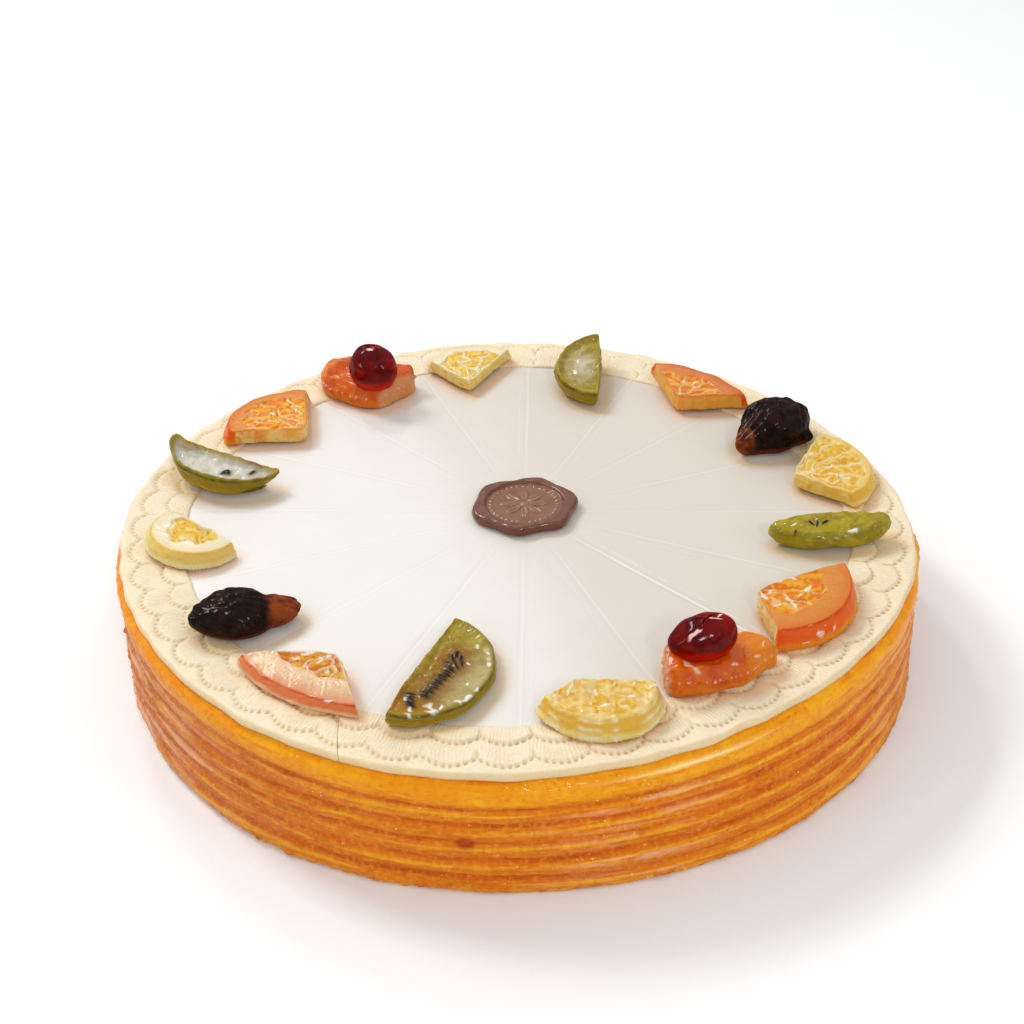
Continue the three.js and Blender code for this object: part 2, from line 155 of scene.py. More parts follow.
def skin_arrays(grid, traits, flat_ends=False):
    """Points, face corners, face sizes and point values of a closed surface from a grid of rings,
    which run anticlockwise seen from the last ring: each end is closed by a fan from the ring's
    mean, or by one flat face."""
    rows, columns, _ = grid.shape
    quads = quad_corners(rows, columns)
    points = grid.reshape(-1, 3)
    column = np.arange(columns)
    top = (rows - 1) * columns
    spread = {name: np.broadcast_to(values, (rows, columns)) for name, values in traits.items()}
    if flat_ends:
        corners = np.concatenate([quads.ravel(), column[::-1], top + column])
        sizes = np.concatenate([np.full(len(quads), 4), [columns, columns]])
        return points, corners, sizes, spread
    beside = (column + 1) % columns
    foot = np.stack([beside, column, np.full(columns, len(points))], -1)
    crown = np.stack([top + column, top + beside, np.full(columns, len(points) + 1)], -1)
    points = np.concatenate([points, grid[:1].mean(1), grid[-1:].mean(1)])
    corners = np.concatenate([quads.ravel(), foot.ravel(), crown.ravel()])
    sizes = np.concatenate([np.full(len(quads), 4), np.full(2 * columns, 3)])
    for name, values in spread.items():
        spread[name] = np.concatenate([values.ravel(), values[:1].mean(1), values[-1:].mean(1)])
    return points, corners, sizes, spread


def dress(piece, material, node):
    """Gives a piece its material and lets it stand for a node of the cake."""
    piece.data.materials.append(material)
    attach(piece, "root")
    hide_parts(node)
    return piece


# ---- Finishes ----
def srgb(red, green, blue):
    """A colour given as it looks on a screen, from 0 to 255, turned into linear light."""
    share = np.array([red, green, blue]) / 255
    linear = np.where(share <= 0.04045, share / 12.92, ((share + 0.055) / 1.055) ** 2.4)
    return (*linear.tolist(), 1.0)


class Finish:
    """A procedural material being made: each method adds a node and returns its output."""

    def __init__(self, name, **settings):
        self.material = bpy.data.materials.new(name)
        self.material.use_nodes = True
        self.nodes = self.material.node_tree.nodes
        self.links = self.material.node_tree.links
        self.shader = self.nodes["Principled BSDF"]
        for socket, value in settings.items():
            self.shader.inputs[socket.replace("_", " ")].default_value = value
        self.place = self.nodes.new("ShaderNodeTexCoord").outputs["Object"]

    def put(self, value, socket):
        if isinstance(value, bpy.types.NodeSocket):
            self.links.new(value, socket)
        else:
            socket.default_value = value

    def stretched(self, x, y, z):
        """The place scaled along each axis, where a small scale draws a pattern out."""
        node = self.nodes.new("ShaderNodeMapping")
        node.inputs["Scale"].default_value = (x, y, z)
        self.links.new(self.place, node.inputs["Vector"])
        return node.outputs["Vector"]

    def noise(self, size, detail=3.0, vector=None, distortion=0.0):
        """Noise whose lumps are about size millimetres across."""
        node = self.nodes.new("ShaderNodeTexNoise")
        self.put(vector or self.place, node.inputs["Vector"])
        node.inputs["Scale"].default_value = 1 / (size * MM)
        node.inputs["Detail"].default_value = detail
        node.inputs["Roughness"].default_value = 0.55
        node.inputs["Distortion"].default_value = distortion
        return node.outputs["Fac"]

    def cells(self, size):
        """Distance from the middles of cells of about size millimetres."""
        node = self.nodes.new("ShaderNodeTexVoronoi")
        self.put(self.place, node.inputs["Vector"])
        node.inputs["Scale"].default_value = 1 / (size * MM)
        return node.outputs["Distance"]

    def trait(self, name):
        """A point value of the mesh."""
        node = self.nodes.new("ShaderNodeAttribute")
        node.attribute_name = name
        return node.outputs["Fac"]

    def math(self, operation, *values):
        node = self.nodes.new("ShaderNodeMath")
        node.operation = operation
        for value, socket in zip(values, node.inputs):
            self.put(value, socket)
        return node.outputs[0]

    def times(self, first, second):
        return self.math("MULTIPLY", first, second)

    def most(self, first, second):
        return self.math("MAXIMUM", first, second)

    def summed(self, first, *others):
        """first plus (value - 0.5) * weight for each of the others."""
        for value, weight in others:
            first = self.math("ADD", first, self.times(self.math("SUBTRACT", value, 0.5), weight))
        return first

    def band(self, value, low, high, start=0.0, end=1.0):
        """start below low, end above high, and a smooth step between them."""
        node = self.nodes.new("ShaderNodeMapRange")
        node.interpolation_type = "SMOOTHSTEP"
        for socket, given in zip(node.inputs, (value, low, high, start, end)):
            self.put(given, socket)
        return node.outputs["Result"]

    def mix(self, share, first, second):
        """The first colour where share is 0 and the second where it is 1."""
        node = self.nodes.new("ShaderNodeMix")
        node.data_type = "RGBA"
        self.put(share, node.inputs["Factor"])
        self.put(first, node.inputs[6])
        self.put(second, node.inputs[7])
        return node.outputs[2]

    def layered(self, colour, *layers):
        """The colour with each (share, colour) laid over it in turn."""
        for share, over in layers:
            colour = self.mix(share, colour, over)
        return colour

    def bump(self, height, depth, normal=None):
        """A relief of height, from 0 to 1, that is depth millimetres deep."""
        node = self.nodes.new("ShaderNodeBump")
        node.inputs["Distance"].default_value = depth * MM
        self.put(height, node.inputs["Height"])
        if normal is not None:
            self.links.new(normal, node.inputs["Normal"])
        return node.outputs["Normal"]

    def done(self, colour, normal=None):
        """The finished material."""
        self.put(colour, self.shader.inputs["Base Color"])
        if normal is not None:
            self.links.new(normal, self.shader.inputs["Normal"])
        return self.material


# ---- Body: a glazed crust with a smooth shoulder over five ridged layers ----
BODY_COLUMNS = 1180
LAYER_COUNT = 5
LAYER_PITCH = 6.1
LAYER_RIDGE = 1.15
GROOVE_WANDER = 0.6
SHOULDER_PROUD = 1.1
SHOULDER_ROUNDING = 2.4
FOOT_ROUNDING = 1.2
LAYER_ROWS = 9
SHOULDER_ROWS = 17
# Beads of set glaze: azimuth in degrees, height, width, how far they stand out, how dark they are.
GLAZE_BEADS = [
    (-161, 26, 1.6, 1.3, 0.4), (-96, 18.5, 2.6, 0.5, 1), (-152, 12, 1.4, 0.8, 0.4),
    (-20, 9, 2, 0.6, 0.4), (40, 20, 2, 0.7, 0.4), (118, 14, 1.8, 0.9, 0.4),
    (165, 22, 2.4, 0.6, 0.4), (-75, 17, 1.2, 0.4, 0.4),
]
# Painted glints and reflections in the glaze of the layers: azimuth and half breadth in degrees,
# and strength. One more painted glint lies as a thin line along the shoulder.
LAYER_GLINTS = [(215, 15, 0.9), (285, 9, 0.75), (330, 14, 0.3), (120, 25, 0.3)]
SHOULDER_GLINT_HEIGHT, SHOULDER_GLINT_AZIMUTH = 36.6, 292.5
# The left side is painted darker, as shade: its azimuth and half breadth in degrees.
LEFT_SHADE_AZIMUTH, LEFT_SHADE_BREADTH = -168, 50


def groove_height(layer, angle):
    """Height of the groove under a layer, which wanders as a slow and a quick wave do."""
    wander = np.sin(2 * angle + 1.9 * layer) + 0.5 * np.sin(5 * angle + 2.7 * layer)
    return LAYER_PITCH * (LAYER_COUNT - layer) + GROOVE_WANDER * wander


def crust_rows(angle):
    """The side's rows from the foot to the ring: height, bulge, nearness to the layer's lit
    line, nearness to a groove, and 1 on the shoulder. With t from 0 to 1 up a layer, its bulge is
    1.05 sin(pi t^1.25)^0.8 - 0.45 times the depth of its ridge; the shoulder swells quickly from
    its groove, stays full, and is turned in at its top."""
    edges = [groove_height(layer, angle) for layer in reversed(range(LAYER_COUNT))]
    edges = [np.zeros_like(angle), *edges, np.full_like(angle, BODY_TOP)]
    rows = []
    for number, (low, high) in enumerate(zip(edges, edges[1:])):
        is_shoulder = number == LAYER_COUNT
        count = SHOULDER_ROWS if is_shoulder else LAYER_ROWS
        ridge = LAYER_RIDGE * (0.8 + 0.35 * np.sin(3 * angle + 2.2 * (LAYER_COUNT - 1 - number)))
        for t in (np.arange(count) + (0 if number == 0 else 0.5)) / count:
            if is_shoulder:
                turned_in = smooth(t, 0.72, 1.02) * SHOULDER_ROUNDING
                bulge = SHOULDER_PROUD * np.sqrt(smooth(t, -0.05, 0.5)) - turned_in
            else:
                crest = np.sin(np.pi * np.clip(t, 0.02, 0.98) ** 1.25) ** 0.8
                bulge = (1.05 * crest - 0.45) * ridge
            groove = hump(t, 0.16) + hump(t - 1, 0.1) * (not is_shoulder)
            row = low + t * (high - low), bulge, hump(t - 0.66, 0.17), groove, float(is_shoulder)
            rows.append([np.broadcast_to(value, angle.shape) for value in row])
    return np.array(rows).transpose(1, 0, 2)


def crust_roughness(angle, height, shoulder):
    """Streaks drawn out round the layers, fainter on the shoulder, and a foot that is ragged in
    places."""
    drawn_out = 0.16 * streaks(angle, height, 11, 26, 2.4)
    drawn_out = drawn_out + 0.1 * streaks(angle, height, 12, 90, 1.4, 20)
    rough = (1 - 0.75 * shoulder) * drawn_out + 0.09 * streaks(angle, height, 13, 260, 3.0, 24)
    rough = rough + 0.12 * streaks(angle, height, 14, 40, 14)
    ragged = np.abs(streaks(angle, height, 15, 210, 4.0, 20)) * hump(height - 0.8, 2.2)
    torn = 0.1 + 0.9 * smooth(streaks(angle, 0 * height, 16, 14, 1), 0.2, 1.6)
    return rough + 0.4 * ragged * torn


def crust_shine(angle, height, lit, groove, shoulder):
    """How strongly each point has a painted glint: a line along the shoulder and patches on the layers.
    """
    along = np.degrees(turn_from(SHOULDER_GLINT_AZIMUTH, angle))
    shine = hump(height - SHOULDER_GLINT_HEIGHT, 0.5) * hump(along, 9)
    for azimuth, breadth, strength in LAYER_GLINTS:
        beside = np.degrees(turn_from(azimuth, angle))
        patch = strength * hump(beside, breadth) * (1 - groove) * (0.4 + 0.6 * lit)
        shine = np.maximum(shine, (1 - shoulder) * patch)
    return shine


def crust_grid():
    """The crust as rings from the underside's middle to the top's middle. Radius = the straight
    side from foot to ring, plus the bulge of each layer, plus its roughness and beads."""
    angle = 2 * np.pi * np.arange(BODY_COLUMNS) / BODY_COLUMNS
    height, bulge, lit, groove, shoulder = crust_rows(angle)
    share = height / BODY_TOP
    radius = foot_radius(angle) * (1 - share) + (ring_radius(angle) + 0.5) * share + bulge
    radius += crust_roughness(angle, height, shoulder)
    radius -= FOOT_ROUNDING * (1 - smooth(height, -0.2, FOOT_ROUNDING))
    bead = np.zeros_like(height)
    for azimuth, level, width, proud, dark in GLAZE_BEADS:
        across = turn_from(azimuth, angle) * FOOT_RADIUS
        drop = hump(np.hypot(across, (height - level) * 1.3), width)
        radius += proud * drop
        bead = np.maximum(bead, dark * drop)
    side = np.stack([radius * np.cos(angle), radius * np.sin(angle), height], -1)
    inwards = [0.3, 0.6, 0.85, 0.97]
    under = [side[0] * [share, share, 0] for share in inwards]
    over = [side[-1] * [share, share, 0] + [0, 0, BODY_TOP] for share in reversed(inwards)]
    traits = {
        "lit": lit,
        "groove": groove,
        "shoulder": shoulder,
        "bead": bead,
        # Painted shade: the left side is darker.
        "left_shade": hump(turn_from(LEFT_SHADE_AZIMUTH, angle), np.radians(LEFT_SHADE_BREADTH)) + 0 * height,
        "shine": crust_shine(angle, height, lit, groove, shoulder),
        "foot": 1 - smooth(height, 0.6, 3.6),
    }
    edge = (len(inwards), len(inwards)), (0, 0)
    traits = {name: np.pad(values, edge, mode="edge") for name, values in traits.items()}
    return np.concatenate([under, side, over]), traits


def crust_finish():
    """Golden crust: each layer is pale along its upper half, partly its own colour and partly
    painted light, and brown near its grooves, partly its own colour and partly painted shade, both
    broken up by streaks drawn out round the cake; the shoulder is a smooth gold. The left side is
    painted darker, as shade. Over it lie crumbs, a pale foot, dark beads, painted sparkles and
    painted glints."""
    f = Finish(
        "glazed_crust", Coat_Weight=0.18, Coat_Roughness=0.06, Coat_IOR=1.45,
        Specular_IOR_Level=0.1, Specular_Tint=(1, 0.75, 0.45, 1),
    )
    lit, groove, shoulder, left_shade = map(f.trait, ("lit", "groove", "shoulder", "left_shade"))
    long_drawn, drawn_out = f.stretched(0.03, 0.03, 1), f.stretched(0.1, 0.1, 1)
    long_streak, streak = f.noise(1.7, 3, long_drawn, 0.2), f.noise(0.9, 4, drawn_out, 0.3)
    wide_streak = f.noise(3.2, 2, long_drawn)
    mottle = f.noise(7, 4, distortion=0.6)
    crumb = f.noise(1.5, 3)

    # The lit line is partly the layer's own colour and partly painted light; the brown near the grooves
    # is partly the crust's own and partly painted shade.
    pale_line = f.summed(f.times(lit, 0.6), (long_streak, 1.5), (streak, 0.9), (mottle, 0.4))
    groove_brown_and_shade = f.summed(f.times(groove, 0.6), (wide_streak, 2.2), (streak, 0.8), (mottle, 0.6))
    dark = f.mix(f.band(mottle, 0.35, 0.65), srgb(196, 82, 8), srgb(210, 98, 10))
    middle = f.mix(f.band(mottle, 0.4, 0.7), srgb(220, 116, 8), srgb(228, 130, 12))
    pale = f.mix(f.band(f.noise(1.1, 3), 0.35, 0.7), srgb(238, 158, 24), srgb(242, 176, 46))
    brown = f.mix(f.band(pale_line, 0.3, 0.75), srgb(196, 102, 46), srgb(212, 138, 38))
    layers = f.layered(
        middle,
        (f.band(groove_brown_and_shade, 0.1, 0.6), dark),
        (f.band(pale_line, 0.25, 0.75), pale),
        # Painted shade: the left side is darker.
        (f.times(left_shade, 0.9), brown),
    )

    drift = f.summed(f.noise(2.2, 3, drawn_out), (mottle, 0.6))
    gold = f.layered(
        f.mix(f.band(mottle, 0.38, 0.66), srgb(240, 150, 6), srgb(245, 176, 22)),
        (f.band(drift, 0.55, 0.72, 0, 0.8), srgb(226, 114, 2)),
        # Painted shade: darker on the left side and in the groove under the shoulder.
        (f.times(left_shade, 0.55), srgb(214, 112, 14)),
        (f.times(groove, 0.8), srgb(196, 84, 8)),
    )

    pale_foot = f.times(f.trait("foot"), f.band(mottle, 0.4, 0.6, 0, 0.7))
    beads = f.band(f.trait("bead"), 0.05, 0.7, 0, 0.85)
    beads = f.times(beads, f.band(f.noise(2, 3), 0.36, 0.52, 0.45, 1))
    # Painted sparkles and painted glints: bright flecks and streaks painted into the colour.
    sparkle = f.times(f.band(f.cells(1.7), 0.08, 0.17, 1, 0), f.band(f.noise(6, 3), 0.56, 0.64))
    broken = f.band(f.noise(1.6, 3, f.stretched(0.06, 0.06, 1)), 0.46, 0.6)
    glints = f.times(f.most(broken, shoulder), f.trait("shine"))
    colour = f.layered(
        f.mix(shoulder, layers, gold),
        (f.band(crumb, 0.5, 0.66, 0, 0.3), srgb(242, 172, 40)),
        (f.band(crumb, 0.34, 0.46, 0.16, 0), srgb(190, 80, 10)),
        (pale_foot, srgb(240, 170, 54)),
        (beads, srgb(166, 50, 8)),
        (f.times(sparkle, 0.8), srgb(255, 232, 168)),
        (glints, f.mix(shoulder, srgb(238, 178, 140), srgb(255, 232, 160))),
    )
    f.put(f.band(f.noise(3, 3, drawn_out), 0.35, 0.7, 0.25, 0.5), f.shader.inputs["Roughness"])
    relief = f.summed(f.times(long_streak, 0.8), (streak, 0.5), (crumb, 0.7))
    drops = f.times(f.band(f.cells(1.5), 0.05, 0.4, 1, 0), f.band(f.noise(8, 2), 0.5, 0.62))
    return f.done(colour, f.bump(drops, 0.3, f.bump(relief, 0.5)))


def make_body():
    grid, traits = crust_grid()
    crust = mesh_object("cake_crust", *skin_arrays(grid, traits))
    dress(crust, crust_finish(), "cake_body")


# ---- Candied fruit: where each piece lies and its own sizes, in millimetres and degrees ----
# A wedge is placed by its inner corner, and its sides are the lengths of its two cut sides. The
# nose of a plum is the length of its tapered end. A cherry is placed in its block's own frame.
KIWI_SLICES = {
    "kiwi_front": dict(azimuth=-101.5, radius=92.2, heading=248, length=49, width=22, thickness=5),
    "kiwi_back": dict(
        azimuth=74, radius=97.8, heading=86, length=39, width=18, thickness=7, nose_up=7
    ),
    "kiwi_right": dict(
        azimuth=-11.7, radius=104.6, heading=181, length=41, width=14, thickness=8, bow=5
    ),
    "kiwi_left": dict(
        azimuth=168, radius=104.4, heading=158, length=43, width=17, thickness=7, nose_up=3
    ),
}
WEDGES = {
    "orange_front": dict(apex=(-50, -82), spans=(178, 285), sides=(29, 24), depth=20, thickness=5),
    "orange_right": dict(apex=(72.5, -56), spans=(-78, 26), sides=(21, 33), depth=26, thickness=7),
    "orange_back": dict(apex=(61, 69.5), spans=(5, 100), sides=(26, 31), depth=25, thickness=6),
    "orange_left": dict(apex=(-73.5, 49.5), spans=(97, 182), sides=(31, 28), depth=33, thickness=5.5),
    "lemon_front": dict(apex=(27, -96), spans=(203, 345), sides=(21, 12.5), depth=19, thickness=6),
    "lemon_left": dict(apex=(-100.7, -13), spans=(150, 318), sides=(15, 14), depth=18, thickness=5.5),
    "lemon_right": dict(apex=(95, 14.5), spans=(-35, 62), sides=(23, 33), depth=29, thickness=5),
    "lemon_back": dict(apex=(-16, 86.5), spans=(62, 130), sides=(32, 24), depth=31.5, thickness=4.5),
}
PLUMS = {
    "plum_left": dict(azimuth=-143, radius=101, heading=17, length=34, width=20, height=10, nose=9),
    "plum_back": dict(azimuth=26.7, radius=103.7, heading=218, length=34, width=23, height=15, nose=10),
}
BLOCKS = {
    "fruit_block_front": dict(azimuth=-55.9, radius=104.3, heading=12, length=32, width=18, height=7),
    "fruit_block_back": dict(azimuth=122.1, radius=107.7, heading=150, length=32, width=24, height=7.5),
}
CHERRIES = {
    "cherry_front": dict(on="fruit_block_front", along=-5, across=0, length=20, width=14, height=11.5),
    "cherry_back": dict(on="fruit_block_back", along=-8.6, across=4.7, length=18.4, width=17, height=15),
}
TRUNCATED_APEX = 4.0
RIND_SLOPE = 0.35
OUTLINE_POINTS = 300
# How far the painted shadows of the fruit reach, and how far they move right and to the front.
SHADOW_REACH, SHADOW_DRIFT = 2.6, (1.6, -1.4)


def turned(axis, degrees):
    """A turn about the X, Y or Z axis as a 4 x 4 matrix."""
    return np.array(Matrix.Rotation(np.radians(degrees), 4, axis))


def moved(x, y, z):
    """A move as a 4 x 4 matrix."""
    return np.array(Matrix.Translation((x, y, z)))


def seat(outline, azimuth, radius, heading, nose_up=0.0):
    """The place of a piece whose plan is outline. It is hinged on the ring's inner edge: it slopes
    down until its inner end meets the icing if its middle is over the icing, and lies flat on the
    ring if not; nose_up then raises its outer end."""
    edge = ring_radius(np.radians(azimuth)) - RING_WIDTH
    turn = np.radians(heading - azimuth)
    inner_end = (outline @ [np.cos(turn), -np.sin(turn)]).min()
    over_icing = edge - (radius + inner_end)
    slope = np.degrees(np.arctan2(RING_TOP - ICING_TOP, over_icing)) if radius < edge else 0
    hinge = turned("Z", azimuth) @ moved(edge, 0, RING_TOP + SEAT_GAP) @ turned("Y", -slope)
    nose = moved(radius - edge + inner_end, 0, 0) @ turned("Y", -nose_up)
    return hinge @ nose @ moved(-inner_end, 0, 0) @ turned("Z", heading - azimuth)


def placed(matrix, grid):
    """A grid of points in a piece's own frame, carried to its place on the cake."""
    return grid @ matrix[:3, :3].T + matrix[:3, 3]


def evened(outline):
    """The closed outline with its points spaced evenly along it."""
    closed = np.concatenate([outline, outline[:1]])
    walked = np.concatenate([[0], np.cumsum(np.hypot(*np.diff(closed, axis=0).T))])
    at = np.linspace(0, walked[-1], OUTLINE_POINTS + 1)[:-1]
    return np.stack([np.interp(at, walked, closed[:, 0]), np.interp(at, walked, closed[:, 1])], -1)


def softened(outline, reach):
    """The outline with its corners drawn round: each point is the mean of its neighbours up to
    reach points away."""
    steps = range(-reach, reach + 1)
    return sum(np.roll(outline, step, axis=0) for step in steps) / len(steps)


def half_slice_outline(length, width, bow=1.0, **_):
    """Half a slice: an arc (length/2 cos t, (width - bow) sin t) over a bowed cut edge, about its
    middle."""
    middle = 0.42 * (width - bow)
    t = np.linspace(0, np.pi, 181)
    arc = np.stack([length / 2 * np.cos(t), (width - bow) * np.sin(t) - middle], -1)
    share = np.linspace(0, 1, 122)[1:-1]
    cut = np.stack([length * (share - 0.5), -bow * np.sin(np.pi * share) - middle], -1)
    return softened(evened(np.concatenate([arc, cut])), 2)


def wedge_reach(share, sides, depth):
    """Distance from a wedge's inner corner to its rind at a share of the way between its cut
    sides: straight from one side's length to the other's, plus a bulge 4 s (1 - s)."""
    straight = sides[0] + (sides[1] - sides[0]) * share
    return straight + (depth - np.mean(sides)) * 4 * share * (1 - share)


def wedge_outline(spans, sides, depth, **_):
    """Plan of a wedge about its inner corner: the rind's arc, the two cut sides and the blunt
    corner between them."""
    start, end = np.radians(spans)
    share = np.linspace(0, 1, 161)
    angle = start + (end - start) * share
    reach = wedge_reach(share, sides, depth)
    rind = np.stack([reach * np.cos(angle), reach * np.sin(angle)], -1)
    back = np.linspace(1, 0.02, 80)[1:, None]
    along = TRUNCATED_APEX + (np.array(sides) - TRUNCATED_APEX) * back
    second = along[:, 1:] * [np.cos(end), np.sin(end)]
    first = along[::-1, :1] * [np.cos(start), np.sin(start)]
    halfway = (start + end) / 2
    middle = 0.3 * TRUNCATED_APEX * np.array([[np.cos(halfway), np.sin(halfway)]])
    return softened(evened(np.concatenate([rind, second, middle, first])), 2)


def block_outline(length, width, **_):
    """A squared oval (|cos|^p, |sin|^p), squarer at its -X end than at its +X end."""
    t = 2 * np.pi * (np.arange(720) + 0.5) / 720
    power = np.where(np.cos(t) > 0, 0.75, 0.4)
    x = length / 2 * np.sign(np.cos(t)) * np.abs(np.cos(t)) ** power
    y = width / 2 * np.sign(np.sin(t)) * np.abs(np.sin(t)) ** power
    return softened(evened(np.stack([x, y], -1)), 3)


def waves(along, seed, low, high, count=9):
    """Unevenness of about unit height round an outline: waves of low to high whole turns."""
    draw = np.random.default_rng(seed)
    turns = draw.integers(low, high, count)[:, None]
    phase = 2 * np.pi * draw.random((count, 1))
    return np.sin(turns * along + phase).sum(0) / np.sqrt(count / 2)


def wall_rows(corners, count=24):
    """A wall's side view, drawn through corners (millimetres in from the edge, share of the
    height) from the foot to the top, with its rows spaced evenly and its bends rounded."""
    corners = np.array(corners, float)
    walked = np.concatenate([[0], np.cumsum(np.hypot(*(np.diff(corners, axis=0) * [1, 6]).T))])
    at = np.linspace(0, walked[-1], count)
    rows = np.stack([np.interp(at, walked, corners[:, axis]) for axis in range(2)], -1)
    for _ in range(2):
        rows[1:-1] = (rows[:-2] + 2 * rows[1:-1] + rows[2:]) / 4
    return rows


def slab_grid(outline, thickness, wall, spread=0.0, draw=1.0, wobble=0.2, seed=1):
    """A slab over a plan outline as rings of points from the underside's middle over its wall to
    the upper side's middle. Each ring is the outline drawn in by the wall's millimetres times
    draw and moved out by spread times the depth below the top; slow waves make it uneven, quick
    ones fray its foot. Returned with it: how far each point is in from the edge, and how far up
    it is, from 0 at the foot to 1 on top."""
    middle = outline.mean(0)
    away = outline - middle
    reach = np.hypot(away[:, 0], away[:, 1])
    rows = wall_rows(wall)
    under = np.linspace(0.04, 1, 7)[:-1]
    over = np.linspace(1, 0.03, 58)[1:]
    share = np.concatenate([under, np.ones(len(rows)), over])[:, None]
    drawn = np.concatenate([0 * under + rows[0, 0], rows[:, 0], 0 * over + rows[-1, 0]])[:, None]
    up = np.concatenate([0 * under, rows[:, 1], 0 * over + 1])[:, None]
    along = 2 * np.pi * np.arange(len(outline)) / len(outline)
    drawn = drawn * draw + 0 * along
    distance = (reach - drawn) * share + spread * thickness * (1 - up) * (share == 1)
    frayed = np.abs(waves(along, seed + 1, 14, 60)) * (1 - smooth(up, 0, 0.35))
    uneven = 0.1 * lumps(along * reach.mean(), 2 * thickness * up, seed + 2, 4)
    distance = distance + share * (wobble * waves(along, seed, 2, 9) + 0.22 * frayed)
    distance = distance + uneven * (share == 1) * smooth(up, 0.05, 0.3) * (1 - smooth(up, 0.85, 1))
    x = middle[0] + distance * away[:, 0] / reach
    y = middle[1] + distance * away[:, 1] / reach
    inward = np.where(up >= 1, reach - distance, drawn * (up > 0.5))
    return np.stack([x, y, thickness * up + 0 * x], -1), inward, up + 0 * x


def lump_grid(length, width, height, columns=240, rows=110):
    """A ball of radius 1 cut flat at 0.62 of its lower half, as rings from the underside's middle
    to the top's; with it the half sizes that it is to be drawn out to, and the depth of the cut."""
    sunk = 0.62
    floor_turn = np.arcsin(sunk)
    turn = np.linspace(-floor_turn, np.pi / 2 - 0.03, rows)
    across = np.cos(turn)
    flat = np.linspace(0.04, 0.97, 12) * np.cos(floor_turn)
    across = np.concatenate([flat, across])[:, None]
    z = np.concatenate([np.full(12, -sunk), np.sin(turn)])[:, None]
    t = 2 * np.pi * np.arange(columns) / columns
    ball = np.stack(np.broadcast_arrays(across * np.cos(t), across * np.sin(t), z), -1)
    return ball, np.array([length / 2, width / 2, height / (1 + sunk)]), sunk


def painted_fruit_shadows(x, y):
    """Painted shadows round each piece of fruit, tinted as if light fell through it:
    exp(-(distance / reach)^2) from its outline, which has drifted a little to the right and to the
    front. Tan for kiwi and plum, amber for the rest."""
    tinted_shadows = {"tan": np.zeros_like(x), "amber": np.zeros_like(x)}
    for name, (outline, matrix) in LAID.items():
        plan = placed(matrix, np.pad(outline[::6], ((0, 0), (0, 1))))[:, :2] + SHADOW_DRIFT
        close = np.hypot(x - plan[:, 0].mean(), y - plan[:, 1].mean()) < 45
        gap = np.full(close.sum(), 99.0)
        for corner in plan:
            gap = np.minimum(gap, np.hypot(x[close] - corner[0], y[close] - corner[1]))
        kind = "tan" if name.startswith(("kiwi", "plum")) else "amber"
        tinted_shadows[kind][close] = np.maximum(tinted_shadows[kind][close], hump(gap, SHADOW_REACH))
    return tinted_shadows


def with_fruit_shadows(f, colour):
    """The colour with the painted tan and amber shadows of the fruit laid over it."""
    tan, amber = f.times(f.trait("tan"), 0.55), f.times(f.trait("amber"), 0.45)
    return f.layered(colour, (tan, srgb(205, 165, 98)), (amber, srgb(232, 165, 92)))


def plan_and_place(name):
    """A piece's outline in its own frame and its place on the cake."""
    if name in KIWI_SLICES:
        sizes = KIWI_SLICES[name]
        outline = half_slice_outline(**sizes)
    elif name in WEDGES:
        sizes = WEDGES[name]
        outline = wedge_outline(**sizes)
        middle = coarse_middle(**sizes)
        place = np.add(sizes["apex"], middle)
        azimuth = np.degrees(np.arctan2(place[1], place[0]))
        seated = seat(outline - middle, azimuth, np.hypot(*place), 0)
        return outline, seated @ moved(-middle[0], -middle[1], 0)
    elif name in PLUMS:
        sizes = PLUMS[name]
        t = np.linspace(0, 2 * np.pi, 181)[:-1]
        outline = np.stack([sizes["length"] / 2 * np.cos(t), sizes["width"] / 2 * np.sin(t)], -1)
    else:
        sizes = BLOCKS[name]
        outline = block_outline(**sizes)
    where = [sizes[key] for key in ("azimuth", "radius", "heading")]
    return outline, seat(outline, *where, sizes.get("nose_up", 0))


def coarse_middle(spans, sides, depth, **_):
    """The mean of a wedge's corner points, from which it is hung."""
    start, end = np.radians(spans)
    share = np.arange(13) / 12
    angle = start + (end - start) * share
    reach = wedge_reach(share, sides, depth)
    corners = [np.stack([reach * np.cos(angle), reach * np.sin(angle)], -1)]
    for side, at in ((sides[1], end), (sides[0], start)):
        along = TRUNCATED_APEX + (side - TRUNCATED_APEX) * np.array([[0.66], [0.33]])
        corners.append(along * [np.cos(at), np.sin(at)])
    halfway = (start + end) / 2
    corners.append(0.3 * TRUNCATED_APEX * np.array([[np.cos(halfway), np.sin(halfway)]]))
    return np.concatenate(corners).mean(0)


LAID = {name: plan_and_place(name) for name in [*KIWI_SLICES, *WEDGES, *PLUMS, *BLOCKS]}


def candied(
    name, roughness=0.35, see_in=0.55, reach=(0.0028, 0.0017, 0.0008), clear=0.25,
    coat=0.32, coat_roughness=0.04,
):
    """A glazed, see-through finish for fruit: light passes and scatters under a clear wet coat."""
    return Finish(
        name, Coat_Weight=coat, Coat_Roughness=coat_roughness, Coat_IOR=1.45, Roughness=roughness,
        Specular_IOR_Level=0, Subsurface_Weight=see_in, Subsurface_Radius=reach,
        Subsurface_Scale=1, Transmission_Weight=clear,
    )
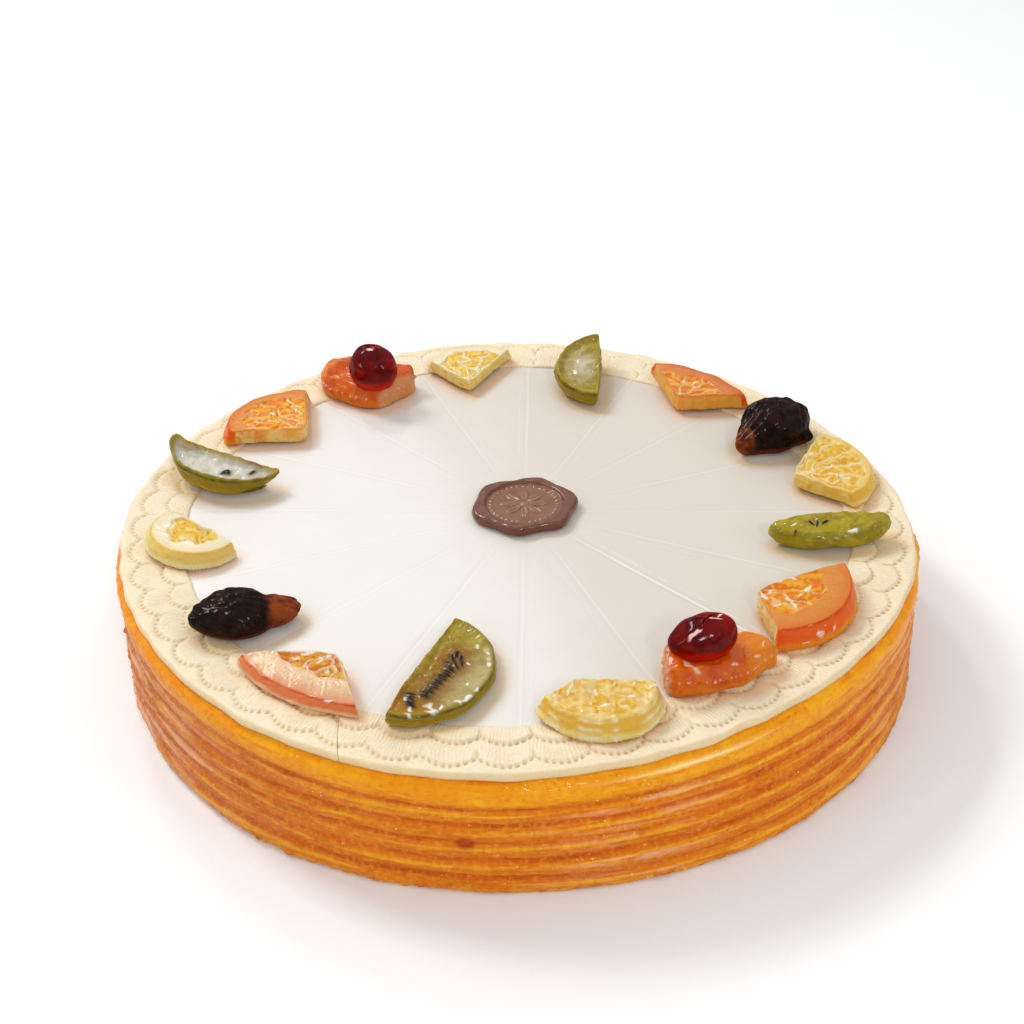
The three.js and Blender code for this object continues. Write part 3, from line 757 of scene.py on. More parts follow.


# ---- Kiwi ----
# Each slice's wall (millimetres in, share of the height), how deep it is dished, how far its
# height falls towards its skin and towards its +X end, how pale its middle is, part frosting and
# part painted sheen, how far its foot is drawn in at both ends for each millimetre of height, and
# how strong and wide its painted white sheen.
KIWI_SHAPES = {
    "kiwi_front": dict(
        wall=[(1.2, 0), (0.3, 0.14), (-0.1, 0.45), (0.35, 0.8), (1.2, 1)],
        dish=0.9, fall=0.3, end_fall=0.22, frost_and_sheen=0.75, boat=0.0, sheen=0, spot=9,
    ),
    "kiwi_back": dict(
        wall=[(1.8, 0), (0.5, 0.25), (-0.1, 0.6), (0.5, 0.88), (1.3, 1)],
        dish=1.7, fall=0.0, end_fall=-0.1, frost_and_sheen=0.3, boat=0.2, sheen=0.6, spot=7.5,
    ),
    "kiwi_right": dict(
        wall=[(3.4, 0), (1.7, 0.16), (0.3, 0.45), (0.1, 0.62), (1.1, 0.88), (2.6, 1)],
        dish=0.15, fall=0.3, end_fall=0.1, frost_and_sheen=0.0, boat=0.1, sheen=0, spot=9,
    ),
    "kiwi_left": dict(
        wall=[(2.2, 0), (1.0, 0.2), (0.1, 0.5), (-0.1, 0.78), (0.3, 0.93), (0.9, 1)],
        dish=2.6, fall=0.0, end_fall=-0.3, frost_and_sheen=1.6, boat=0.7, sheen=1, spot=40,
    ),
}
# Seeds by slice: place in the slice's own frame and how far each is turned from straight across.
KIWI_SEEDS = {
    "kiwi_front": [
        (13.2, -1.9, 2), (12.0, -2.2, 6), (10.9, -1.6, -3), (9.7, -1.9, 4), (8.6, -1.2, 0),
        (7.4, -1.5, 7), (6.2, -0.9, -6), (5.1, -1.3, 3), (3.9, -0.6, 8), (2.8, -1.0, -5),
        (1.6, -0.3, 4), (0.4, -0.8, 10), (-0.8, -0.1, 14), (-1.9, -0.9, 22), (-3.1, 0.5, 40),
        (-3.4, -2.0, 30), (-4.7, -0.6, 48), (-5.2, 1.5, 62), (-6.3, -1.9, 55), (-7.2, 0.4, 74),
        (-8.2, -1.4, 84), (13.8, -5.9, -14), (14.9, -5.5, -6), (15.9, -5.0, 0), (16.9, -4.5, 6),
        (17.8, -3.9, 10),
    ],
    "kiwi_back": [],
    "kiwi_right": [(12.2, 2.4, 20), (6.4, -1.2, -40), (4.6, -0.8, 15), (2.0, -1.1, 60)],
    "kiwi_left": [(-3.4, 0.6, 20), (-4.6, 0.2, -30), (-3.9, 1.6, 60), (-11.7, -3.5, 10)],
}
SEED_LENGTH, SEED_WIDTH = 3.2, 1.0
# Painted highlights: white patches painted into the glaze, in each piece's own frame: place,
# half length, half width and turn in degrees. Those on a wall are placed by x and three times the
# height, and those on a cherry in tenths of its half sizes.
PAINTED_HIGHLIGHTS = {
    "kiwi_front": [
        (17.2, 2.2, 3.4, 1.5, 48), (15.4, 4.4, 1.6, 0.8, 20), (9.6, 9.2, 3.0, 1.1, -14),
        (11.6, 7.6, 1.5, 0.7, 40), (22.6, -1.6, 3.0, 0.4, 60), (-8, 8.6, 1.7, 0.6, 30),
        (-12.6, 6.6, 1.3, 0.5, 40), (4.6, 10.2, 1.5, 0.5, -8), (15.4, -6.0, 1.6, 0.7, 0),
        (2.6, 6.5, 0.9, 0.5, 20), (-6.0, 3.2, 0.9, 0.4, 70), (-14.5, 2.4, 1.2, 0.5, 60),
        (19.5, -3.4, 1.5, 0.5, 30),
    ],
    "kiwi_right": [(-6, 3, 2.2, 0.6, 10), (3, 5, 1.6, 0.5, -10), (12, -1, 1.4, 0.5, 20)],
    "kiwi_back": [(-3, 2, 2.0, 0.7, 10), (4, 1, 1.6, 0.6, -20)],
    "orange_front": [
        (-9.0, -0.8, 2.6, 0.6, 20), (-5.4, -3.6, 2.2, 0.7, 75), (-8.8, -6.4, 2.0, 0.5, 120),
        (-2.8, -8.4, 1.6, 0.6, 80), (-3.2, -2.0, 1.6, 0.5, 20), (-12.4, -3.0, 1.6, 0.4, 160),
        (-12, -17.5, 1.2, 0.8, 0), (-26.2, -7, 2.4, 0.5, -65), (-1.6, -20.6, 2.0, 0.5, 5),
    ],
    "orange_right": [
        (10.0, -6.4, 4.4, 0.7, -70), (16.0, 0.2, 3.0, 0.6, 40), (2.2, -3.4, 2.2, 0.9, -80),
        (7.6, 3.4, 2.2, 0.6, 10), (13.0, -3.4, 1.8, 0.5, 60), (5.4, -8.4, 2.0, 0.6, 20),
        (4.6, -1.0, 1.6, 0.5, 50), (12.2, 4.8, 1.8, 0.5, 0),
    ],
    "orange_right_wall": [(17.0, 9, 1.4, 3.4, 10), (21.5, 10, 0.4, 2.4, 0), (12.4, 6, 1.4, 0.6, 0)],
    "orange_back": [(8, 12, 1.8, 0.5, 40), (-3, 14, 1.4, 0.5, 110)],
    "orange_left": [(-14, 12, 2.4, 0.6, 130), (-6, 15, 1.8, 0.5, 100), (-19, 6, 1.6, 0.5, 150)],
    "fruit_block_front": [
        (-11.2, -6.2, 2.4, 0.8, -60), (-9.6, -8.6, 1.6, 0.5, -20), (9.5, -5.0, 1.6, 0.35, 20),
        (12.8, -1.5, 1.8, 0.3, 60), (2.0, -7.6, 1.4, 0.35, 10), (-14.4, 2, 2.2, 0.3, 80),
    ],
    "fruit_block_back": [(-10, 6, 3.0, 1.2, 20), (6, 8, 2.0, 0.5, -10)],
    "lemon_front": [
        (-9, -3, 3.0, 0.7, 20), (-12, -7, 2.2, 0.6, 60), (4, -9, 2.6, 0.5, -10),
        (11, -6, 2.4, 0.6, 30), (-3, -13, 2.6, 0.5, -6), (6, -4, 1.6, 0.5, 70),
        (-5, -8, 1.5, 0.6, 110),
    ],
    "lemon_back": [(2, 12, 3.0, 0.8, 20), (-4, 18, 2.4, 0.8, -30), (5, 22, 2.6, 0.7, 0)],
    "lemon_left": [(-10, -2, 2.6, 0.7, 80), (-5, -8, 2.0, 0.6, 40)],
    "lemon_right": [(14, 5, 2.6, 0.6, 30), (18, -3, 2.2, 0.5, -20), (9, 13, 1.8, 0.5, 60)],
    "cherry_front": [
        (-3.4, -6.0, 2.6, 0.8, 16), (3.0, -2.2, 2.6, 0.28, -20), (4.6, -1.0, 1.8, 0.28, 50),
    ],
    "cherry_back": [(0.2, 1.9, 1.7, 0.9, 0)],
}


def painted_highlights(name, x, y):
    """Painted highlights: ovals with uneven edges, 1 inside and 0 outside."""
    shine = np.zeros_like(x)
    for place_x, place_y, length, width, turn in PAINTED_HIGHLIGHTS.get(name, []):
        c, s = np.cos(np.radians(turn)), np.sin(np.radians(turn))
        along, across = (x - place_x) * c + (y - place_y) * s, (y - place_y) * c - (x - place_x) * s
        bent = across + 0.35 * width * lumps(x, y, 55, 3)
        shine = np.maximum(shine, 1 - smooth(np.hypot(along / length, bent / width), 0.55, 1))
    return shine


def kiwi_seeds(name, x, y):
    """How near each point is to a seed: on it, in the dark bed round it, and in the amber core
    that the seeds share. Each is an oval drawn out along its seed."""
    seeds, bed, core = np.zeros((3, *x.shape))
    for seed_x, seed_y, turn in KIWI_SEEDS[name]:
        c, s = np.cos(np.radians(turn)), np.sin(np.radians(turn))
        along = (y - seed_y) * c + (x - seed_x) * s
        across = (x - seed_x) * c - (y - seed_y) * s
        oval = np.hypot(along / (SEED_LENGTH / 2), across / (SEED_WIDTH / 2))
        seeds = np.maximum(seeds, 1 - smooth(oval, 0.7, 1.15))
        bed = np.maximum(bed, hump(np.hypot(along * 0.55, across), 1.5))
        core = np.maximum(core, hump(np.hypot(along * 0.7, across), 4.6))
    return seeds, bed, core


def kiwi_grid(name):
    """A half slice: dished between its cut edge and a raised rim of skin, lower towards its skin
    and its ends, with seeds standing just out of it as long bumps and a wrinkled glaze."""
    sizes, shape = KIWI_SLICES[name], KIWI_SHAPES[name]
    length, width, bow = sizes["length"], sizes["width"], sizes.get("bow", 1.0)
    outline, matrix = LAID[name]
    is_front = name == "kiwi_front"
    spread = -shape["boat"] * smooth(np.abs(outline[:, 0]), 0.2 * length, 0.5 * length)
    spread = softened(spread[:, None], 5)[:, 0]
    seed = len(name)
    grid, inward, up = slab_grid(outline, sizes["thickness"], shape["wall"], spread, 1, 0.15, seed)
    x, y = grid[..., 0], grid[..., 1]
    above_cut = y + 0.42 * (width - bow)
    to_arc = (1 - np.hypot(x / (length / 2), above_cut / (width - bow))) * (width - bow)
    top = smooth(up, 0.75, 1)
    dish = shape["dish"] * smooth(inward, 0.4, 4.2) * top
    rim = 0.35 * hump(to_arc - 1.5, 1.0) * top * (above_cut > -0.5)
    seeds, bed, core = kiwi_seeds(name, x, y)
    seeds = seeds * top
    wrinkle = 0.13 * lumps(x, y, 51, 5) + 0.03 * lumps(x, y, 52, 1.6)
    fold = 0.35 * hump(y + 6.3 - 0.12 * x, 0.7) * smooth(x, -14, -6) * (1 - smooth(x, 2, 10))
    grid[..., 2] += rim - dish + 0.28 * seeds + (wrinkle - fold * is_front) * top
    level = 1 - shape["fall"] * smooth(y, -0.25 * width, 0.5 * width)
    grid[..., 2] *= level - shape["end_fall"] * smooth(x, 0.24 * length, 0.48 * length)
    pale_x, pale_y = (1.5, 6.0) if is_front else (-1.0, 0.5)
    pale = hump(np.hypot((x - pale_x) / (0.3 * length), (y - pale_y) / (0.3 * width)), 1.0)
    spot = hump(np.hypot(x - 1, 1.6 * (y + 1)) / shape["spot"], 1)
    traits = {
        "skin": (1 - smooth(to_arc, 1.0, 2.4)) * (above_cut > -1.0),
        "wall": 1 - smooth(up, 0.5, 0.95),
        "low": 1 - smooth(up, 0.05, 0.6),
        "line": hump(up - 0.86, 0.07),
        "seed": seeds,
        "bed": bed * top,
        "core": core * top,
        # Part pale frosting and part painted sheen.
        "pale": shape["frost_and_sheen"] * pale * top * (1 - 0.85 * core),
        # Painted sheen: a white reflection on the dished top.
        "sheen": shape["sheen"] * smooth(inward, 1.2, 3.2) * top * spot,
        "fresh": np.full_like(x, float(name == "kiwi_right")),
        "amber_end": smooth(x, 0.26 * length, 0.44 * length) * is_front,
        "painted_highlight": painted_highlights(name, x, y) * top,
    }
    return placed(matrix, grid), traits


def kiwi_finish():
    """Olive flesh, amber round the seeds and pale in the middle, part frosting and part painted
    sheen, with a painted white sheen, a darker skin, a dark line under its edge, a wall painted
    brighter at its foot as a glow of light through it, painted sparkles and painted highlights."""
    f = candied("candied_kiwi", 0.3)
    wall, fresh = f.trait("wall"), f.times(f.trait("fresh"), 0.7)
    mottle = f.noise(5, 4, distortion=0.6)
    fine = f.noise(0.7, 3)
    stipple = f.band(f.noise(0.45, 2), 0.5, 0.62)
    flesh = f.mix(f.band(mottle, 0.35, 0.65), srgb(146, 120, 4), srgb(172, 150, 20))
    # Part pale frosting and part painted sheen, then a painted white sheen and painted sparkles.
    frost_and_sheen = f.times(f.trait("pale"), f.band(mottle, 0.3, 0.6, 0.6, 1))
    frost_and_sheen_colour = f.mix(f.times(stipple, 0.5), srgb(222, 212, 172), srgb(150, 136, 74))
    sheen = f.times(f.trait("sheen"), f.band(mottle, 0.3, 0.55, 0.55, 0.95))
    painted_sparkle = f.times(f.band(f.cells(1.1), 0.1, 0.22, 1, 0), f.band(f.noise(4, 2), 0.45, 0.6))
    painted_sparkle = f.times(painted_sparkle, f.band(wall, 0, 0.5, 0.9, 0.2))
    fresh_flesh = f.mix(f.band(mottle, 0.38, 0.6), srgb(148, 136, 4), srgb(184, 170, 34))
    line = f.times(f.trait("line"), f.band(mottle, 0.35, 0.6, 0.25, 0.85))
    colour = f.layered(
        flesh,
        (f.times(stipple, 0.3), srgb(200, 186, 90)),
        (f.band(f.trait("core"), 0.1, 0.8, 0, 0.85), srgb(152, 100, 2)),
        (f.times(f.trait("amber_end"), 0.85), srgb(170, 112, 2)),
        (frost_and_sheen, frost_and_sheen_colour),
        (sheen, srgb(216, 216, 206)),
        (f.band(f.trait("bed"), 0.2, 0.9, 0, 0.75), srgb(90, 64, 18)),
        (f.times(f.trait("skin"), 0.8), srgb(150, 134, 12)),
        # Painted glow: the wall is brighter at its foot.
        (f.times(wall, 0.85), f.mix(f.trait("low"), srgb(152, 120, 2), srgb(182, 150, 6))),
        (fresh, fresh_flesh),
        (f.times(painted_sparkle, 0.7), srgb(236, 232, 196)),
        (f.times(line, f.math("SUBTRACT", 1, fresh)), srgb(58, 50, 20)),
        (f.times(f.trait("painted_highlight"), f.band(fine, 0.3, 0.5, 0.75, 1)), srgb(250, 248, 240)),
        (f.trait("seed"), srgb(20, 14, 8)),
    )
    wet = f.bump(f.noise(3.5, 2, distortion=0.5), 0.5)
    return f.done(colour, f.bump(fine, 0.07, wet))


# ---- Orange and lemon ----
# Each wedge's looks: its finish, width of its pith, how far the flesh is sunk, its membranes as
# shares of the way between the cut sides, how clear they are, how far its height falls towards
# the rind, and how high its flesh stands out in lumps.
WEDGE_LOOKS = {
    "orange_front": dict(
        kind="candied_rosy_orange", pith=7.6, sunk=1.0, membranes=(0.3, 0.52, 0.8), clear=0.7,
        fall=0.34, heap=0.0, seed=61,
    ),
    "orange_right": dict(
        kind="candied_amber_orange", pith=7.6, sunk=0.9, membranes=(0.3, 0.5, 0.72), clear=0.7,
        fall=0.06, heap=0.0, seed=62,
    ),
    "orange_back": dict(
        kind="candied_orange", pith=6.5, sunk=0.9, membranes=(0.14, 0.42, 0.7), clear=0.8,
        fall=0.12, heap=0.0, seed=63,
    ),
    "orange_left": dict(
        kind="candied_amber_orange", pith=5.5, sunk=0.9, membranes=(0.15, 0.4, 0.66, 0.9),
        clear=0.6, fall=0.1, heap=0.0, seed=64,
    ),
    "lemon_front": dict(
        kind="candied_lemon", pith=1.6, sunk=0.1, membranes=(), clear=0.3, fall=0.0, heap=0.15,
        seed=65,
    ),
    "lemon_left": dict(
        kind="candied_pale_lemon", pith=5.4, sunk=1.6, membranes=(0.72,), clear=0.5, fall=0.1,
        heap=0.0, seed=66,
    ),
    "lemon_right": dict(
        kind="candied_lemon", pith=2.4, sunk=0.8, membranes=(0.14, 0.32, 0.52, 0.7, 0.88),
        clear=0.9, fall=0.0, heap=0.3, seed=67,
    ),
    "lemon_back": dict(
        kind="candied_pale_lemon", pith=4.5, sunk=0.9, membranes=(0.2, 0.5, 0.8), clear=0.9,
        fall=0.0, heap=0.2, seed=68,
    ),
}
# The walls of a wedge, as a kiwi's: plain, and with three steps, as lemon_front has. The lips of
# the steps are pale, at these shares of the height.
RIND_WALL = [(0.5, 0), (0.0, 0.1), (-0.25, 0.35), (-0.1, 0.7), (0.2, 0.93), (0.7, 1)]
STEPPED_WALL = [
    (0.2, 0), (-0.5, 0.07), (-0.45, 0.22), (0.1, 0.3), (0.2, 0.4), (0.0, 0.5), (0.05, 0.6),
    (0.45, 0.68), (0.5, 0.78), (0.3, 0.86), (0.5, 0.95), (1.1, 1),
]
STEP_LIPS = (0.15, 0.52, 0.9)
# Each citrus finish: the colours of its parts, from 0 to 255, as they look on a screen.
CITRUS_LOOKS = {
    "candied_orange": dict(
        flesh=(238, 176, 70), deep=(226, 118, 14), pith=(220, 136, 66), pith_warm=(212, 98, 38),
        rind=(222, 88, 8), rind_low=(238, 146, 44), line=(178, 62, 14), membrane=(248, 220, 170),
        cut=(240, 172, 64), lip=(240, 214, 170),
    ),
    "candied_rosy_orange": dict(
        flesh=(226, 168, 50), deep=(212, 116, 12), pith=(238, 210, 170), pith_warm=(226, 154, 108),
        rind=(232, 128, 72), rind_low=(244, 192, 146), line=(170, 34, 12),
        membrane=(246, 228, 196), cut=(230, 166, 70), lip=(240, 214, 180),
    ),
    "candied_amber_orange": dict(
        flesh=(236, 172, 30), deep=(232, 122, 4), pith=(224, 148, 68), pith_warm=(222, 124, 40),
        rind=(236, 98, 0), rind_low=(240, 138, 8), line=(172, 56, 4), membrane=(246, 218, 158),
        cut=(242, 208, 128), lip=(238, 208, 160),
    ),
    "candied_lemon": dict(
        flesh=(238, 204, 104), deep=(230, 176, 36), pith=(242, 220, 158), pith_warm=(234, 198, 104),
        rind=(234, 188, 66), rind_low=(242, 214, 128), line=(220, 180, 92),
        membrane=(248, 234, 194), cut=(238, 202, 92), lip=(246, 236, 206),
    ),
    "candied_pale_lemon": dict(
        flesh=(240, 206, 100), deep=(232, 184, 50), pith=(244, 236, 214), pith_warm=(240, 222, 176),
        rind=(236, 204, 112), rind_low=(244, 226, 166), line=(226, 178, 84),
        membrane=(246, 236, 206), cut=(240, 214, 130), lip=(246, 236, 206),
    ),
}


def share_of_span(x, y, start, end):
    """How far each point has turned from a wedge's first cut side to its second, from 0 to 1."""
    return ((np.degrees(np.arctan2(y, x)) - start + 180) % 360 - 180) / (end - start)


def wedge_membranes(looks, x, y, share, span):
    """How near each point is to a membrane, which wanders as it runs out from the corner, and
    how full the segments are between them."""
    membrane, swell = np.zeros_like(x), np.ones_like(x)
    out = np.hypot(x, y)
    for at in looks["membranes"]:
        beside = out * np.sin((share - at) * span)
        beside = beside + 0.8 * lumps(x, y, looks["seed"] + 40 + int(50 * at), 8)
        membrane = np.maximum(membrane, hump(beside, 0.42 + 0.015 * out))
        swell = np.minimum(swell, smooth(np.abs(beside), 0.3, 2.8))
    return membrane * looks["clear"], swell


def wedge_grid(name):
    """A piece of a round slice. In polar coordinates about its inner corner, the flesh lies
    sunk inside a band of pith, its segments swell in uneven lumps between raised membranes, and
    fine ridges of pulp run out along them; the rind's wall slopes out to the foot."""
    sizes, looks = WEDGES[name], WEDGE_LOOKS[name]
    seed = looks["seed"]
    outline, matrix = LAID[name]
    start, end = sizes["spans"]
    reach = lambda share: wedge_reach(np.clip(share, 0, 1), sizes["sides"], sizes["depth"])
    far = np.hypot(outline[:, 0], outline[:, 1])
    at_rind = far > 0.93 * reach(share_of_span(outline[:, 0], outline[:, 1], start, end))
    slope = softened(RIND_SLOPE * at_rind[:, None], 5)[:, 0]
    stepped = name == "lemon_front"
    wall = STEPPED_WALL if stepped else RIND_WALL
    around = 2 * np.pi * np.arange(OUTLINE_POINTS) / OUTLINE_POINTS
    draw = 0.75 + 0.35 * waves(around, seed + 5, 2, 7)
    grid, inward, up = slab_grid(outline, sizes["thickness"], wall, slope, draw, 0.09, seed)
    x, y = grid[..., 0], grid[..., 1]
    share = share_of_span(x, y, start, end)
    held = np.clip(share, 0, 1)
    to_rind = reach(share) - np.hypot(x, y)
    top = smooth(up, 0.8, 1)
    pith_width = looks["pith"] * (1 + 0.3 * (2 * held - 1) ** 2) + 0.7 * lumps(x, y, seed + 20, 9)
    flesh = smooth(to_rind - pith_width, -0.4, 0.7) * smooth(inward, 0.5, 1.3)
    membrane, swell = wedge_membranes(looks, x, y, share, np.radians(end - start))
    curl = lumps(x + 1.5 * lumps(x, y, 57, 7), y, seed + 70, 4.2)
    pulp = np.sin(held * 44 + 1.6 * lumps(x, y, seed + 60, 4)) * 0.5 + 0.5
    wave = 0.1 * lumps(x, y, seed + 80, 10) + 0.03 * lumps(x, y, seed + 90, 1.6)
    hollow = looks["sunk"] * flesh * (1 - 0.55 * swell * (1 - membrane)) * (1 - 0.75 * membrane)
    hollow = hollow + flesh * (0.1 * pulp - 0.1 * curl)
    mound = looks["heap"] * (1 + 0.9 * lumps(x, y, seed + 95, 9)) * smooth(to_rind, 3, 8)
    if stepped:
        mound = mound + 2.5 * hump(np.hypot(x + 10.5, 1.3 * (y + 4)), 5.5)
        mound = mound + 0.9 * hump(np.hypot(x - 12, y + 7), 4)
        mound = mound - 0.5 * hump(np.hypot(0.8 * x, y + 9), 5) + 0.12 * lumps(x, y, 96, 3)
    grid[..., 2] += top * (wave - hollow + mound)
    grid[..., 2] *= 1 - looks["fall"] * (1 - smooth(to_rind, -1, 8))
    strips = 1 - smooth(np.abs(lumps(x, y, 79, 11)), 0.3, 1.4)
    lips = sum(hump(up - level, 0.09) for level in STEP_LIPS) * strips if stepped else 0 * up
    wall_painted_highlight = painted_highlights(name + "_wall", x, 3 * grid[..., 2]) * (1 - top)
    traits = {
        "flesh": flesh * top,
        "membrane": membrane * flesh * top,
        "curl": np.clip(0.5 + 0.3 * curl, 0, 1),
        "depth": np.clip(to_rind / 8, 0, 1),
        "rind": np.maximum((1 - top) * at_rind, 1 - smooth(to_rind, 0.3, 1.0)),
        "line": hump(to_rind - 0.1, 0.35) * top,
        "cut": (1 - top) * (1 - at_rind),
        "lip": lips,
        "low": 1 - smooth(up, 0.0, 0.7),
        "painted_highlight": np.maximum(painted_highlights(name, x, y) * top, wall_painted_highlight),
    }
    return placed(matrix, grid), traits


def citrus_finish(name):
    """Glazed citrus: see-through flesh streaked along the pulp, grainy pith that warms towards
    the rind, and a glossy rind, painted paler at its foot as a glow of light through it, with a dark
    line along its upper edge, and painted highlights."""
    f = candied(name, 0.3)
    tone = {part: srgb(*shade) for part, shade in CITRUS_LOOKS[name].items()}
    flesh, rind, depth = map(f.trait, ("flesh", "rind", "depth"))
    mottle = f.noise(5, 4, distortion=0.6)
    fine = f.noise(0.7, 3)
    grain = f.noise(1.3, 4)
    curled = f.math("ADD", mottle, f.times(f.trait("curl"), 0.4))
    juicy = f.mix(f.band(curled, 0.58, 0.82), tone["deep"], tone["flesh"])
    swirl = f.band(f.noise(4, 3, distortion=2.5), 0.57, 0.66, 0, 0.25)
    white = f.mix(f.band(depth, 0.0, 0.7), tone["pith_warm"], tone["pith"])
    white = f.mix(f.band(grain, 0.4, 0.68, 0, 0.5), white, tone["pith_warm"])
    # Painted glow: the rind is paler towards its foot.
    low = f.math("ADD", f.trait("low"), f.math("SUBTRACT", mottle, 0.5))
    skin = f.mix(f.band(low, 0.2, 0.9), tone["rind"], tone["rind_low"])
    colour = f.layered(
        white,
        (flesh, f.mix(swirl, juicy, tone["membrane"])),
        (f.times(f.trait("membrane"), f.band(grain, 0.3, 0.6, 0.35, 0.95)), tone["membrane"]),
        (f.trait("cut"), f.mix(f.band(mottle, 0.42, 0.62, 0, 0.8), tone["cut"], juicy)),
        (rind, skin),
        (f.times(f.trait("line"), f.band(mottle, 0.3, 0.6, 0.3, 0.8)), tone["line"]),
        (f.times(f.trait("lip"), f.band(mottle, 0.35, 0.55, 0.2, 0.95)), tone["lip"]),
        (f.times(f.trait("painted_highlight"), 0.9), srgb(248, 240, 226)),
    )
    glazed = f.most(f.most(flesh, rind), 0.15)
    wet = f.bump(f.times(f.noise(2.6, 2, distortion=0.6), glazed), 0.55)
    return f.done(colour, f.bump(fine, 0.09, wet))


# ---- Plums ----
def plum_grid(name):
    """A shrivelled half plum: a lump that tapers and sinks to a nose at one end, with folds
    across it gathered at a waist, and crumpled in its middle. The one at the back is narrower at
    its nose and has a spur at its other end."""
    sizes = PLUMS[name]
    ball, size, sunk = lump_grid(sizes["length"], sizes["width"], sizes["height"])
    x, y, z = ball[..., 0], ball[..., 1], ball[..., 2]
    ball_x, ball_y = x, y
    is_back = name == "plum_back"
    to_nose = smooth(x, 1 - 2 * sizes["nose"] / sizes["length"] - 0.35, 1)
    waist = hump(x - 0.42, 0.14) * (0.1 if is_back else 0.2)
    shoulder = 1 + (0.03 if is_back else 0.1) * np.sin(4 * x + 2.6)
    spur = hump(turn_from(122, np.arctan2(y, x)), 0.2) * is_back
    y = y * (1 - (0.62 if is_back else 0.12) * to_nose - waist) * shoulder
    drop = 0.62 if is_back else 0.42
    z = np.where(z > 0, z * (1 - drop * to_nose - 0.5 * waist) * shoulder, z)
    wide_x, wide_y, high = x * size[0], y * size[1], (z + sunk) * size[2]
    above = smooth(high, 0.3, 2.5)
    crumpled = hump(np.hypot(ball_x - 0.05, ball_y * 0.6), 0.5)
    crease = hump(wide_y - 1.2 * np.sin(wide_x / 5), 1.1) * smooth(z, 0.1, 0.6) * crumpled
    coarse = np.abs(lumps(wide_x * 0.8 + high, wide_y, 71, 7))
    fine = np.abs(lumps(wide_x, wide_y + high, 72, 2.4)) * (0.25 + 0.75 * crumpled)
    rough = 0.45 * coarse + 0.1 * fine
    grow = 1 + above * (0.05 * rough - 0.03) + 0.3 * spur * (1 - smooth(high, 1, 5))
    high = high * (1 + above * (0.06 * rough - 0.035)) - 0.7 * crease * above
    grid = np.stack([wide_x * grow, wide_y * grow, high], -1)
    to_tip = ball_x + 0.03 * lumps(wide_x, wide_y, 75, 5) - 0.3 * is_back
    traits = {
        "tip": smooth(to_tip, 0.3, 0.52),
        "foot": 1 - smooth(high, 0.3, 4.0),
        # Part dusty bloom and part painted sheen on the crumpled middle.
        "dust_and_sheen": crumpled * above,
    }
    return placed(LAID[name][1], grid), traits


def plum_finish():
    """Almost black skin with an amber nose, a reddish glow painted low down, and pale
    flecks on its crumpled middle, part dusty bloom and part painted sheen; fine wrinkles glint.
    """
    reach = (0.002, 0.0006, 0.0003)
    f = candied("candied_plum", 0.4, 0.1, reach, 0, coat=0.22, coat_roughness=0.12)
    mottle = f.noise(5, 4)
    fine = f.noise(1.0, 4)
    dust_and_sheen = f.trait("dust_and_sheen")
    colour = f.layered(
        f.mix(f.band(mottle, 0.35, 0.7), srgb(18, 7, 4), srgb(42, 19, 11)),
        (f.band(f.trait("foot"), 0.15, 1, 0, 0.8), srgb(104, 38, 16)),
        (f.times(dust_and_sheen, f.band(fine, 0.6, 0.75, 0, 0.25)), srgb(96, 78, 68)),
        (f.trait("tip"), f.mix(f.band(mottle, 0.42, 0.65), srgb(132, 60, 22), srgb(78, 30, 12))),
    )
    wrinkled = f.times(fine, f.band(dust_and_sheen, 0.1, 0.8, 0.25, 1))
    return f.done(colour, f.bump(wrinkled, 0.07, f.bump(f.noise(5, 2), 0.3)))


# ---- Blocks of candied fruit and the cherries on them ----
BLOCK_WALL = [
    (0.5, 0), (0.0, 0.08), (-0.1, 0.35), (-0.5, 0.52), (0.2, 0.62), (1.6, 0.82), (2.8, 0.96),
    (3.6, 1),
]


